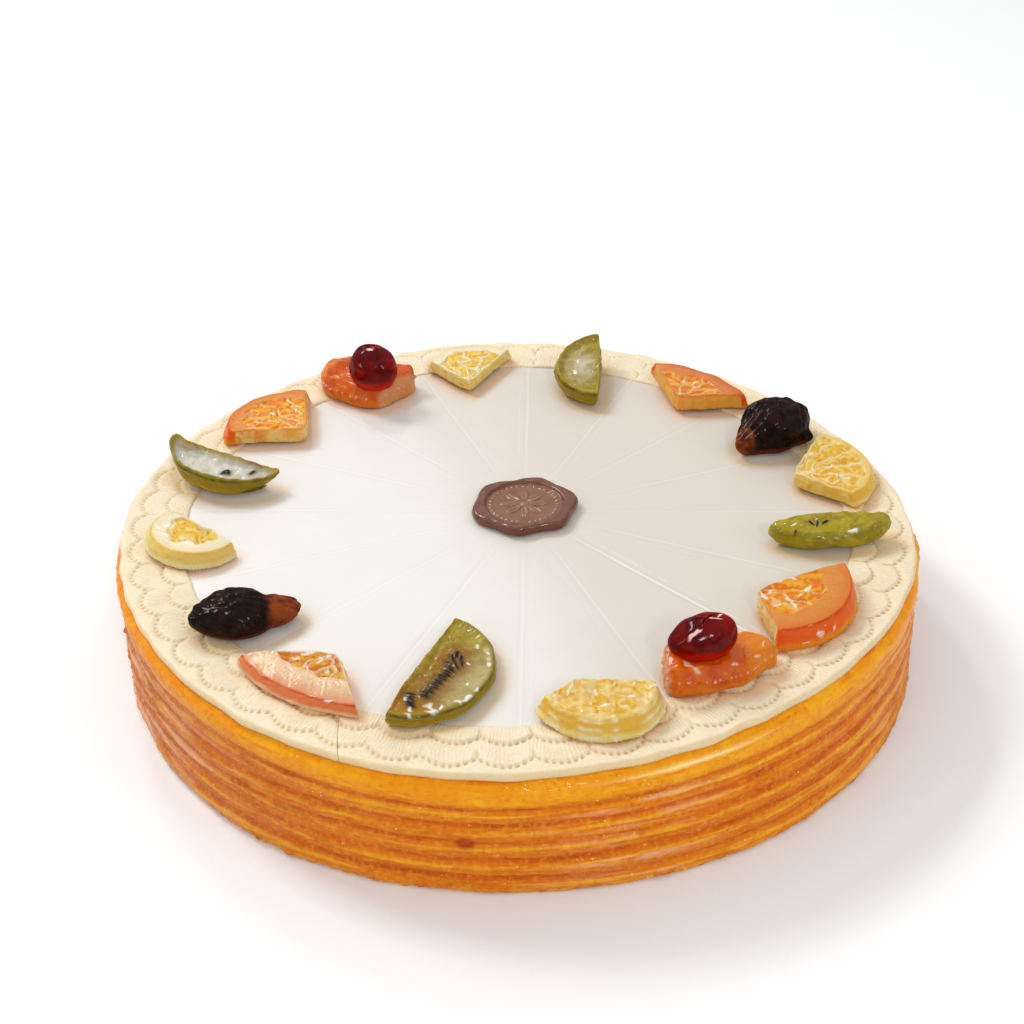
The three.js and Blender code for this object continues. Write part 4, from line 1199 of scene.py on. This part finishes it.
def block_grid(name):
    """A glazed block, cut straight at its -X end and rounded to a lobe at the other: its walls
    stand up to a beaded ridge and lean in above it, and a seam parts the front one's lobe off."""
    sizes = BLOCKS[name]
    is_front = name == "fruit_block_front"
    outline, matrix = LAID[name]
    x, y = outline[:, 0], outline[:, 1]
    pulled_in = 3.2 * smooth(x, 2, 15) * smooth(-y, 1, 8)
    y = y + pulled_in - 1.2 * smooth(-y, 2, 8) * (1 - smooth(x, 0, 10))
    x = x + 0.2 * y * smooth(-x, 2, 13)
    shaped = softened(evened(np.stack([x, y], -1)), 1)
    draw = 1 - 0.8 * smooth(-shaped[:, 0], 9, 14) - 0.45 * smooth(shaped[:, 0], 4, 12)
    grid, _, up = slab_grid(shaped, sizes["height"], BLOCK_WALL, 0.05, draw, 0.2, 8)
    x, y, z = grid[..., 0], grid[..., 1], grid[..., 2]
    top = smooth(up, 0.8, 1)
    side = smooth(up, 0.05, 0.2) * (1 - smooth(up, 0.85, 1))
    ripple = 0.22 * lumps(0.3 * x + 0.3 * y, 1.8 * z, 81, 4) + 0.07 * lumps(x, y + z, 84, 2.5)
    ripple = ripple * (1 - 0.7 * smooth(x, 3, 9)) * (1 if is_front else 0.4)
    beads = 0.25 * np.abs(lumps(x, y, 85, 1.6)) * hump(up - 0.55, 0.08)
    seam = hump(x - 5.2 - 0.02 * (y + 9) ** 2, 0.45) * smooth(-y, 0, 3) * is_front
    middle_x, middle_y = shaped.mean(0)
    away = np.hypot(x - middle_x, y - middle_y)
    push = side * (ripple + beads - 0.5 * seam) / away
    x, y = x + push * (x - middle_x), y + push * (y - middle_y)
    wave = 0.3 * lumps(x, y, 82, 9) + 0.03 * lumps(x, y, 83, 2.4)
    higher = 1 + 0.16 * smooth(-x, 2, 14) + 0.06 * smooth(x, 5, 12)
    z = (z + top * (wave - 0.4 * seam)) * higher
    # Painted highlights, on the beads of the ridge too.
    painted_highlight = np.maximum(painted_highlights(name, x, y), 0.8 * smooth(beads, 0.26, 0.4))
    traits = {
        "clear": smooth(x, 3, 11) if is_front else smooth(x, 9, 16),
        "wall": 1 - top,
        "foot": 1 - smooth(up, 0.1, 0.5),
        "edge": hump(x + 0.5 * sizes["length"] - 0.2 * y, 0.8),
        "painted_highlight": painted_highlight * smooth(up, 0.3, 0.5),
    }
    return placed(matrix, np.stack([x, y, z], -1)), traits


def block_finish():
    """Orange-red jelly that clears to amber at one end, paler at its cut edge, painted paler at
    its foot as a glow of light through it, and with painted highlights.
    """
    f = candied("candied_melon", 0.2, 0.35, clear=0.35)
    mottle = f.noise(6, 3, distortion=0.8)
    colour = f.layered(
        f.mix(f.band(mottle, 0.35, 0.65), srgb(218, 82, 0), srgb(234, 116, 4)),
        (f.trait("clear"), srgb(236, 140, 8)),
        # Painted glow: paler at the foot.
        (f.times(f.trait("foot"), 0.5), srgb(240, 140, 14)),
        (f.times(f.trait("edge"), 0.6), srgb(238, 196, 140)),
        (f.times(f.trait("painted_highlight"), 0.85), srgb(252, 224, 196)),
    )
    wet = f.bump(f.noise(3.2, 2, distortion=0.8), 0.5)
    return f.done(colour, f.bump(f.noise(1.2, 3), 0.06, wet))


def cherry_grid(name):
    """A candied cherry: a ball drawn out to its sizes, fuller on its +X side and pointed on the
    other where it leans, with a crease over the top that forks between soft lips."""
    sizes = CHERRIES[name]
    ball, size, sunk = lump_grid(sizes["length"], sizes["width"], sizes["height"], 280, 130)
    x, y, z = ball[..., 0], ball[..., 1], ball[..., 2]
    lean = 1.0 if name == "cherry_front" else 0.3
    power = 2.0 + 0.9 * lean
    squared = (np.abs(x) ** power + np.abs(z) ** power) ** (1 / power) + 1e-9
    full = 1 + (np.hypot(x, z) / squared - 1) * smooth(x, 0, 0.25) * smooth(z, -0.1, 0.1)
    x, z = x * full, z * full
    thin = smooth(-x, 0.3, 1.0) * lean
    y = y * (1 - 0.18 * thin)
    sunk_left = (1 - 0.3 * thin) * (1 - 0.1 * lean * (1 - smooth(x, -0.6, 0.3)))
    z = np.where(z > 0, z * sunk_left, z)
    crease = y + 0.28 - 0.62 * x - 0.1 * np.sin(5 * x)
    fork = y + 0.1 + 0.5 * x
    on_crease = smooth(x, -0.15, 0.05) * (1 - smooth(x, 0.55, 0.8))
    on_fork = smooth(x, -0.32, -0.22) * (1 - smooth(x, 0.08, 0.16))
    folds = np.clip(hump(crease, 0.045) * on_crease + 0.8 * hump(fork, 0.04) * on_fork, 0, 1)
    lips = hump(np.abs(crease) - 0.1, 0.05) * on_crease
    lips = lips + hump(np.abs(fork) - 0.09, 0.045) * on_fork
    high = (z + (0.035 * lips - 0.08 * folds) * smooth(z, 0.1, 0.6) + sunk) * size[2]
    soft = 0.014 * lumps(x * 10, y * 10, 91, 7) * smooth(high, 0.5, 3)
    across = 1 + soft
    grid = np.stack([x * size[0] * across, y * size[1] * across, high * (1 + 0.5 * soft)], -1)
    on = sizes["on"]
    seated = moved(sizes["along"], sizes["across"], BLOCKS[on]["height"] + SEAT_GAP)
    traits = {
        "low": 1 - smooth(high / sizes["height"], 0.02, 0.5),
        "painted_highlight": painted_highlights(name, 10 * ball[..., 0], 10 * ball[..., 1]) * smooth(z, 0.1, 0.3),
    }
    return placed(LAID[on][1] @ seated, grid), traits


def cherry_finish():
    """Dark red, with a red glow painted low down, under a deep clear glaze with painted highlights."""
    f = candied("candied_cherry", 0.15, clear=0.12, coat=0.2)
    mottle = f.noise(6, 3, distortion=0.5)
    colour = f.layered(
        f.mix(f.band(mottle, 0.35, 0.7), srgb(82, 0, 1), srgb(136, 4, 0)),
        # Painted glow: brighter red low down.
        (f.band(f.trait("low"), 0.1, 1, 0, 0.9), srgb(196, 26, 0)),
        (f.times(f.trait("painted_highlight"), 0.85), srgb(250, 220, 214)),
    )
    return f.done(colour, f.bump(f.noise(5, 2), 0.15))


def make_pieces(nodes, suffix, grid, finish):
    """Dresses each of the nodes with the skin that grid works out for it."""
    for node in nodes:
        piece = mesh_object(node + suffix, *skin_arrays(*grid(node)))
        dress(piece, finish, node)


def make_fruit():
    """Dresses every piece of fruit."""
    make_pieces(KIWI_SLICES, "_slice", kiwi_grid, kiwi_finish())
    citrus = {kind: citrus_finish(kind) for kind in CITRUS_LOOKS}
    for name, looks in WEDGE_LOOKS.items():
        make_pieces([name], "_wedge", wedge_grid, citrus[looks["kind"]])
    make_pieces(PLUMS, "_half", plum_grid, plum_finish())
    make_pieces(BLOCKS, "_jelly", block_grid, block_finish())
    make_pieces(CHERRIES, "_glazed", cherry_grid, cherry_finish())


# ---- Marzipan ring: two rows of crimped petals inside a plain rim, laid round with one seam ----
RING_THICKNESS = RING_TOP - RING_BASE
SCALLOP_COUNT = 50
SCALLOP_PHASE = -101.9
# How far inwards the two rows' scalloped lines lie, at the middle of an arc and at the cusps.
OUTER_ARC, OUTER_CUSP = 3.9, 7.6
INNER_ARC, INNER_CUSP = 12.7, 16.4
TEETH = 8
RIBS = 14
TILE_SLOPE, PIT_DEPTH, GASH_DEPTH = 0.95, 0.42, 0.75
SEAM_AZIMUTH, SEAM_SLANT, SEAM_REACH = -111.4, -5.0, 14.4
SEAM_GAP = 0.12
RING_SECTIONS = 1900
RIM_ROUNDING, INNER_ROUNDING = 1.2, 0.9


def ring_relief(turn, inwards):
    """How far the ring's upper side lies under its full thickness, and how deep in a hollow each
    point is. turn counts petals round the ring. Each petal is a tile: highest at its scalloped
    outer line, with teeth pressed in along it, sloping down to the next row, and parted from its
    neighbour by a gash at the cusp."""
    draw = np.random.default_rng(5)
    number = np.floor(turn).astype(int) % SCALLOP_COUNT
    nearest = np.round(turn).astype(int) % SCALLOP_COUNT
    share = turn % 1
    reach_change, gash = draw.uniform(-0.12, 0.12, 64), draw.uniform(0.3, 1, 64)
    tilt, level = draw.uniform(-1, 1, 64), draw.uniform(-0.1, 0.1, 64)
    arc = np.sin(np.pi * share) ** 0.8
    outer = OUTER_CUSP - (OUTER_CUSP - OUTER_ARC) * arc * (1 + reach_change[number])
    inner = INNER_CUSP - (INNER_CUSP - INNER_ARC) * arc * (1 - reach_change[number])
    tooth = np.sin(np.pi * TEETH * share) ** 2
    beside = (turn - np.round(turn)) * 2 * np.pi * RING_RADIUS / SCALLOP_COUNT
    fall = 0.12 + 0.4 * smooth(inwards - outer, -2.6, -0.6)
    hollow = np.zeros_like(fall)
    for line, next_line in ((outer, inner), (inner, RING_WIDTH + 2.0)):
        into = inwards - line
        on_petal = smooth(into, -0.2, 0.35)
        slope = np.clip(into / (next_line - line), 0, 1) ** 1.3
        roll = 0.3 * hump(beside, 1.7) * hump(into - 0.5, 2.5)
        tile = level[number] * (1 - slope) + TILE_SLOPE * slope + roll
        pit = hump(into + 0.5, 0.62) * smooth(tooth, 0.1, 0.8)
        cut = hump(beside - tilt[nearest] * 0.25 * into, 0.42 + 0.05 * into.clip(0))
        cut = cut * smooth(into, -0.9, 0) * (1 - smooth(into, 1.5, 4.5)) * gash[nearest]
        fall = fall * (1 - on_petal) + tile * on_petal + 0.16 * hump(into + 0.4, 0.6)
        fall += PIT_DEPTH * pit + GASH_DEPTH * cut
        hollow = np.maximum(hollow * (1 - 0.8 * on_petal), np.maximum(pit, 0.8 * cut))
    ribbed = np.clip(0.35 + smooth(inwards - outer, -0.3, 0.8), 0, 1) * smooth(inwards, 1.0, 2.5)
    return np.clip(fall, 0, 1.25), np.clip(hollow, 0, 1), ribbed


def rounded_edge(distance, rounding):
    """How far a round edge lies under the flat, from 1 at the edge to 0 at a rounding's distance
    from it: 1 - sqrt(1 - (1 - distance / rounding)^2)."""
    return 1 - np.sqrt(1 - (1 - np.clip(distance / rounding, 0, 1)) ** 2)


def ring_grid():
    """Sections of the strip from one end of the seam to the other. Each runs outwards over the
    top, down the rim and back underneath; its inner end is turned round the cake by the seam's
    slant, which dies out away from the seam."""
    half_gap = np.degrees(SEAM_GAP / 2 / RING_RADIUS)
    azimuth = np.linspace(SEAM_AZIMUTH + half_gap, SEAM_AZIMUTH + 360 - half_gap, RING_SECTIONS)
    from_seam = np.minimum(azimuth - azimuth[0], azimuth[-1] - azimuth)[:, None]
    slant = SEAM_SLANT * np.clip(1 - from_seam / SEAM_REACH, 0, 1)
    inner_end, rim = [20.4, 20.32, 20.15], [1.2, 0.8, 0.4, 0.16, 0.04, 0]
    over = np.concatenate([inner_end, np.linspace(19.9, 1.7, 37), rim])
    inwards = np.concatenate([over, [0.03, 0.2, 4, 8, 12, 16]])[None, :]
    angle = np.radians(azimuth[:, None] + slant * inwards / RING_WIDTH)
    radius = ring_radius(angle) - inwards
    x, y = radius * np.cos(angle), radius * np.sin(angle)
    turn = (np.degrees(angle) - SCALLOP_PHASE) * SCALLOP_COUNT / 360
    fall, hollow, ribbed = ring_relief(turn, inwards)
    fall += 0.1 * lumps(x, y, 21, 13) + 0.03 * lumps(x, y, 22, 2.5) + 0.1
    fall += 0.2 * hump(np.radians(from_seam) * RING_RADIUS, 0.6)
    height = RING_THICKNESS - np.clip(fall, 0, 1.3)
    height *= 1 - 0.5 * rounded_edge(inwards, RIM_ROUNDING)
    height *= 1 - 0.5 * rounded_edge(RING_WIDTH - inwards, INNER_ROUNDING)
    height[:, len(over)] = 0.7
    height[:, len(over) + 1 :] = 0
    lobes = 0.35 * (np.abs(np.sin(np.pi * turn)) - 1) * smooth(inwards, 18, 20.4)
    frayed = 0.25 * streaks(angle, 0 * angle, 23, 60, 1) * (1 - smooth(inwards, 0, 2))
    radius = radius + lobes + frayed
    x, y = radius * np.cos(angle), radius * np.sin(angle)
    hollow[:, len(over) :] = 0
    traits = {
        # Painted shade: the pits and gashes are painted tan.
        "hollow": hollow,
        "rim": 1 - smooth(inwards + 0 * angle, 0.2, 1.0),
        "turn": turn,
        "ribbed": ribbed,
        **painted_fruit_shadows(x, y),
    }
    return np.stack([x, y, RING_BASE + height], -1), traits


def marzipan_finish():
    """Cream marzipan, painted tan as shade in its pressed pits and gashes, slightly see-through,
    with a fine grain, and with ribs across its petals: sin(2 pi ribs (turn + a slow drift)), fading
    in and out. The painted shadows of the fruit lie over it."""
    f = Finish(
        "marzipan", Roughness=0.55, Specular_IOR_Level=0.35, Subsurface_Weight=0.25,
        Subsurface_Radius=(0.0025, 0.0018, 0.001), Subsurface_Scale=1,
    )
    grain = f.noise(0.7, 3)
    cream = f.mix(f.band(f.noise(12, 3), 0.35, 0.65), srgb(222, 204, 169), srgb(228, 213, 182))
    colour = f.layered(
        cream,
        (f.band(grain, 0.3, 0.75), srgb(232, 219, 192)),
        # Painted shade in the pits and gashes.
        (f.band(f.trait("hollow"), 0.0, 0.95, 0, 0.8), srgb(204, 172, 118)),
        (f.times(f.trait("rim"), 0.5), srgb(222, 190, 130)),
    )
    drifting = f.math("ADD", f.trait("turn"), f.times(f.noise(9, 2), 0.25))
    rib = f.math("SINE", f.times(drifting, RIBS * 2 * np.pi))
    depth = f.times(f.trait("ribbed"), f.band(f.noise(5, 2), 0.3, 0.6, 0.3, 1))
    ribs = f.bump(f.times(rib, depth), 0.055)
    return f.done(with_fruit_shadows(f, colour), f.bump(grain, 0.1, ribs))


def make_ring():
    grid, traits = ring_grid()
    ring = mesh_object("crimped_ring", *skin_arrays(grid, traits, flat_ends=True))
    dress(ring, marzipan_finish(), "marzipan_ring")


# ---- Icing: a thin white skin, scored into sixteen portions ----
ICING_THICKNESS = ICING_TOP - RING_BASE
PORTIONS = 16
FIRST_SCORE = -1.5
SCORE_TWIN = 2.8
# How far the icing goes on under the ring's inner edge.
ICING_TUCK = 0.7


def icing_outline():
    """Azimuths round the seal's middle, gathered at the score lines, the direction of each, and
    how far it is to the icing's edge: found by moving along the direction until the distance
    from the cake's middle fits."""
    even = np.linspace(0, 360, 641)[:-1]
    lines = FIRST_SCORE + np.arange(PORTIONS)[:, None] * 360 / PORTIONS
    near = (lines + np.array([-0.55, -0.28, -0.1, 0, 0.1, 0.28, 0.55])).ravel() % 360
    azimuth = np.sort(np.concatenate([even, near]))
    heading = np.radians(azimuth)
    ahead = np.stack([np.cos(heading), np.sin(heading)], -1)
    reach = np.full(len(heading), 100.0)
    for _ in range(30):
        place = SEAL_CENTRE + reach[:, None] * ahead
        edge = ring_radius(np.arctan2(place[:, 1], place[:, 0])) - RING_WIDTH + ICING_TUCK
        reach += edge - np.hypot(place[:, 0], place[:, 1])
    return azimuth, ahead, reach


def icing_grid():
    """Rings of points round the seal's middle, from underneath over the rounded edge to the
    middle. 'across' is the distance r sin(8 (angle - first)) / 8 from the nearest score line,
    which is pressed in as a groove."""
    azimuth, ahead, reach = icing_outline()
    flat = np.concatenate([np.linspace(0.97, 0.1, 62), [0.06, 0.02]])
    share = np.concatenate([[0.03, 0.2, 0.5, 0.8], np.ones(5), flat])[:, None]
    inset = np.concatenate([np.zeros(6), [0.3, 0.7, 1.2], 0 * flat])[:, None]
    up = np.concatenate([np.zeros(5), [0.45, 0.75, 0.92, 1], 0 * flat + 1])[:, None]
    distance = reach * share - inset
    x = SEAL_CENTRE[0] + distance * ahead[:, 0]
    y = SEAL_CENTRE[1] + distance * ahead[:, 1]
    across = distance * np.sin(PORTIONS / 2 * np.radians(azimuth - FIRST_SCORE)) / (PORTIONS / 2)
    strength = np.interp(azimuth, *score_strengths()) + 0 * across
    upper = smooth(up, 0.9, 1)
    groove = hump(across, 0.28) * strength * smooth(distance, 18, 45) * upper
    uneven = 0.04 * upper * (lumps(x, y, 31, 30) - 1.5)
    z = RING_BASE + ICING_THICKNESS * up - 0.14 * groove + uneven
    traits = {
        "across": across,
        "strength": strength,
        "out": distance,
        # Painted light and shade across the icing: 0 on the lit left, 1 on the shaded right.
        "lit_to_shaded": smooth(x + 0.35 * y, -45, 45),
        **painted_fruit_shadows(x, y),
    }
    return np.stack([x, y, z], -1), traits


def score_strengths():
    """How clear each score line is, by azimuth: clearest in the front right, faint at the back."""
    lines = FIRST_SCORE + np.arange(-1, PORTIONS + 2) * 360 / PORTIONS
    clear = 0.18 + 0.82 * hump((lines - 292) % 360, 24) + 0.25 * hump((lines - 247) % 360, 10)
    return lines, clear


def icing_finish():
    """White glaze icing, painted whiter on the left as light and a warmer grey on the right as
    shade, with whitish scored lines that wander and a fainter broken line beside each, both painted
    highlights, and a grey edge along them, painted shade. All of them fade in outwards. The painted
    shadows of the fruit lie over it."""
    f = Finish(
        "white_icing", Coat_Weight=0.35, Coat_Roughness=0.22, Roughness=0.45, Specular_IOR_Level=0.3
    )
    lit_to_shaded, across, strength, out = map(f.trait, ("lit_to_shaded", "across", "strength", "out"))
    cloud = f.noise(26, 3, distortion=0.4)
    white = f.layered(
        f.mix(f.band(cloud, 0.35, 0.7), srgb(215, 209, 201), srgb(222, 216, 209)),
        (lit_to_shaded, srgb(208, 200, 189)),
        (f.band(lit_to_shaded, 0, 0.5, 0.7, 0), srgb(224, 222, 218)),
    )
    wander = f.times(f.math("SUBTRACT", f.noise(14, 2), 0.5), 1.1)
    away = f.math("ABSOLUTE", f.math("ADD", across, f.times(wander, 0.5)))
    twin = f.math("ABSOLUTE", f.math("SUBTRACT", f.math("ADD", across, wander), SCORE_TWIN))
    broken = f.times(f.band(twin, 0.1, 0.45, 0.8, 0), f.band(f.noise(5, 3), 0.4, 0.55))
    line = f.times(f.most(f.band(away, 0.2, 0.75, 1, 0), broken), strength)
    line = f.times(line, f.band(out, 18, 50, 0.1, 1))
    beside = f.math("ABSOLUTE", f.math("SUBTRACT", away, 0.95))
    edge = f.times(f.band(beside, 0.1, 0.5, 1, 0), strength)
    edge = f.times(edge, f.times(f.band(out, 17, 30), 0.35))
    # Painted highlights along the scored lines and painted shade along their edges.
    colour = f.layered(
        white, (f.times(line, 0.8), srgb(236, 236, 234)), (edge, srgb(176, 168, 162))
    )
    fine = f.bump(f.noise(1.6, 3), 0.03)
    return f.done(with_fruit_shadows(f, colour), f.bump(f.math("SUBTRACT", 1, line), 0.14, fine))


def make_icing():
    grid, traits = icing_grid()
    icing = mesh_object("scored_icing", *skin_arrays(grid, traits))
    dress(icing, icing_finish(), "icing")


# ---- Chocolate seal: a lobed disc of poured chocolate with a pressed round face ----
SEAL_RADIUS = 16.9
SEAL_LENGTHENING, SEAL_LENGTH_AZIMUTH = 0.7, 10.0
SEAL_LOBES, SEAL_LOBE_HEIGHT, SEAL_LOBE_AZIMUTH = 6, 0.8, 17.0
SEAL_FACE_RADIUS, SEAL_FACE_DEPTH = 13.4, 0.9
SEAL_EDGE_ROUNDING = 1.3
SEAL_COLUMNS = 360
BORDER_BEADS, BORDER_RADIUS = 36, 11.3
PETALS, PETAL_REACH = 8, 8.6


def seal_face(radius, angle):
    """Relief of the pressed face: a ring of beads round a rosette, whose petals reach as far as
    |cos(n angle / 2)|^0.6, with a boss in the middle."""
    beads = hump(radius - BORDER_RADIUS, 0.45) * (0.55 + 0.45 * np.cos(BORDER_BEADS * angle))
    reach = PETAL_REACH * np.abs(np.cos(PETALS * angle / 2)) ** 0.6
    petals = smooth(reach - radius, 0, 1.1) * smooth(radius, 1.8, 2.6)
    vein = hump(radius * np.sin(PETALS * angle / 2) / (PETALS / 2), 0.3) * smooth(radius, 2.5, 4)
    return 0.3 * beads + 0.3 * petals - 0.18 * vein * petals + 0.35 * hump(radius, 1.5)


def seal_grid():
    """Rings of the disc. Its edge is a circle drawn out along one azimuth plus a wave of six
    lobes; the rim rolls over from the edge, rises and sinks with the lobes, and steps down to
    the pressed face."""
    angle = 2 * np.pi * np.arange(SEAL_COLUMNS) / SEAL_COLUMNS
    lobe = np.cos(SEAL_LOBES * turn_from(SEAL_LOBE_AZIMUTH, angle) + 0.5 * np.sin(angle + 1))
    edge = SEAL_RADIUS + SEAL_LENGTHENING * np.cos(2 * turn_from(SEAL_LENGTH_AZIMUTH, angle))
    edge = edge + SEAL_LOBE_HEIGHT * lobe
    top = SEAL_TOP - SEAL_BASE
    rim_top, face_up = top - 0.15, top - SEAL_FACE_DEPTH - 0.1
    turn = np.radians(np.linspace(-80, 78, 22))[:, None]
    wall = edge - SEAL_EDGE_ROUNDING * (1 - np.cos(turn))
    wall_up = 0.5 * top * (1 + np.sin(turn) * (0.96 + 0.03 * lobe))
    span = np.linspace(0, 1, 20)[1:, None]
    rim = wall[-1] * (1 - span) + (SEAL_FACE_RADIUS + 0.35) * span
    rim_up = wall_up[-1] + (rim_top - wall_up[-1]) * smooth(span, 0, 1)
    step = np.linspace(0, 1, 9)[1:, None]
    step_in = SEAL_FACE_RADIUS + 0.35 - 1.15 * step + 0 * angle
    step_up = rim_top + (face_up - rim_top) * smooth(step, 0.05, 0.95) + 0 * angle
    face = np.linspace(12.5, 0.25, 50)[:, None] + 0 * angle
    relief = seal_face(face, angle)
    under = np.array([0.3, 3, 7, 12, 14.5])[:, None] + 0 * angle
    radius = np.concatenate([under, wall, rim, step_in, face])
    up = np.concatenate([0 * under, wall_up, rim_up, step_up, face_up + relief])
    x, y = radius * np.cos(angle), radius * np.sin(angle)
    up = up + 0.06 * lumps(x, y, 41, 6) * smooth(up, 0.2, 1)
    raised, pressed = np.zeros((2, *up.shape))
    raised[-len(face) :] = relief / 0.3
    pressed[-len(face) :] = 1
    wall_share = 1 - smooth(up, 0.35 * top, 0.85 * top)
    grid = np.stack([SEAL_CENTRE[0] + x, SEAL_CENTRE[1] + y, SEAL_BASE + up], -1)
    return grid, {"raised": raised, "wall": wall_share, "face": pressed}


def chocolate_finish():
    """Milk chocolate, lighter on its face and lightest where that is raised, darker down its
    wall, with a satin shine."""
    f = Finish("milk_chocolate", Specular_IOR_Level=0.4, Coat_Weight=0.4, Coat_Roughness=0.14)
    cloudy = f.band(f.noise(7, 3), 0.35, 0.7)
    colour = f.layered(
        f.mix(cloudy, srgb(96, 48, 27), srgb(106, 57, 34)),
        (f.trait("face"), f.mix(cloudy, srgb(118, 74, 48), srgb(130, 86, 60))),
        (f.band(f.trait("raised"), 0.1, 0.9, 0, 0.6), srgb(138, 93, 67)),
        (f.trait("wall"), srgb(110, 42, 18)),
    )
    f.put(f.band(f.noise(2, 2), 0.3, 0.7, 0.32, 0.42), f.shader.inputs["Roughness"])
    return f.done(colour, f.bump(f.noise(1.2, 2), 0.03))


def make_seal():
    seal = mesh_object("chocolate_disc", *skin_arrays(*seal_grid()))
    dress(seal, chocolate_finish(), "chocolate_seal")


# ---- Floor, light and camera ----
FOCAL_LENGTH = 53.41
SENSOR_WIDTH = 36.0
CAMERA_PLACE = (0, -0.43043, 0.31124)
CAMERA_AHEAD = (-0.000405, 0.847932, -0.530105)
CAMERA_UP = (0.011784, 0.530073, 0.847870)
FLOOR_SIZE = 8.0
# The room grows brighter upwards, from the first strength to the second between two heights,
# which are sines of the angle above level.
SKY_HEIGHTS = (0.1, 0.85)
SKY_STRENGTHS = (0.5, 0.82)
LAMP_AIM = (0, 0, 0.03)
LAMP_COLOUR = (1, 0.99, 0.975)
# Each soft light: place, and width and height, in metres, and power in watts. Besides the key
# they are small and are there to glint in the glaze.
LAMPS = {
    "key": ((-0.95, 0.75, 1.25), (0.42, 0.42), 12),
    "bright_window": ((-0.45, 1.05, 1.15), (0.16, 0.16), 3.5),
    "left_window": ((-1.25, -0.6, 0.6), (0.05, 0.4), 0.9),
    "front_window": ((0.35, -1.25, 0.95), (0.14, 0.2), 4),
    "right_window": ((1.2, -0.75, 0.75), (0.07, 0.3), 1.2),
}


def make_floor():
    """A pale matt floor, wide enough to have no edge in view."""
    f = Finish("pale_floor", Roughness=0.75, Specular_IOR_Level=0.2)
    grain = f.noise(0.8, 2)
    colour = f.mix(grain, (0.85, 0.864, 0.872, 1), (0.885, 0.9, 0.908, 1))
    half = FLOOR_SIZE / 2
    mesh = bpy.data.meshes.new("floor")
    edge = [(-half, -half, 0), (half, -half, 0), (half, half, 0), (-half, half, 0)]
    mesh.from_pydata(edge, [], [(0, 1, 2, 3)])
    floor = bpy.data.objects.new("floor", mesh)
    bpy.context.scene.collection.objects.link(floor)
    mesh.materials.append(f.done(colour))


def make_lamp(name, place, size, power):
    """A rectangular soft light at place, turned towards the cake."""
    data = bpy.data.lights.new(name, "AREA")
    data.shape = "RECTANGLE"
    data.size, data.size_y = size
    data.energy = power
    data.color = LAMP_COLOUR
    lamp = bpy.data.objects.new(name, data)
    lamp.location = place
    lamp.rotation_euler = (Vector(LAMP_AIM) - Vector(place)).to_track_quat("-Z", "Y").to_euler()
    bpy.context.scene.collection.objects.link(lamp)


def make_light():
    """A bright white room, a large soft key from the back left and small bright windows round
    the cake."""
    scene = bpy.context.scene
    scene.view_settings.view_transform = "Standard"
    world = bpy.data.worlds.new("white_room")
    world.use_nodes = True
    nodes, links = world.node_tree.nodes, world.node_tree.links
    place = nodes.new("ShaderNodeTexCoord").outputs["Generated"]
    parts = nodes.new("ShaderNodeSeparateXYZ")
    links.new(place, parts.inputs[0])
    rise = nodes.new("ShaderNodeMapRange")
    rise.interpolation_type = "SMOOTHSTEP"
    for socket, given in zip(rise.inputs, (0, *SKY_HEIGHTS, *SKY_STRENGTHS)):
        socket.default_value = given
    links.new(parts.outputs["Z"], rise.inputs["Value"])
    links.new(rise.outputs["Result"], nodes["Background"].inputs["Strength"])
    nodes["Background"].inputs["Color"].default_value = (1, 1, 1, 1)
    scene.world = world
    for name, (place, size, power) in LAMPS.items():
        make_lamp(name, place, size, power)


def make_camera():
    """The photograph's viewpoint, as a pinhole camera with no shift."""
    data = bpy.data.cameras.new("camera")
    data.lens = FOCAL_LENGTH
    data.sensor_width = SENSOR_WIDTH
    data.clip_start = 0.01
    camera = bpy.data.objects.new("camera", data)
    back = -Vector(CAMERA_AHEAD).normalized()
    side = Vector(CAMERA_UP).cross(back).normalized()
    up = back.cross(side)
    turn = Matrix((side, up, back)).transposed().to_4x4()
    camera.matrix_world = Matrix.Translation(CAMERA_PLACE) @ turn
    bpy.context.scene.collection.objects.link(camera)
    bpy.context.scene.camera = camera


make_camera()
make_light()
make_floor()
make_body()
make_ring()
make_icing()
make_seal()
make_fruit()

bpy.context.view_layer.update()
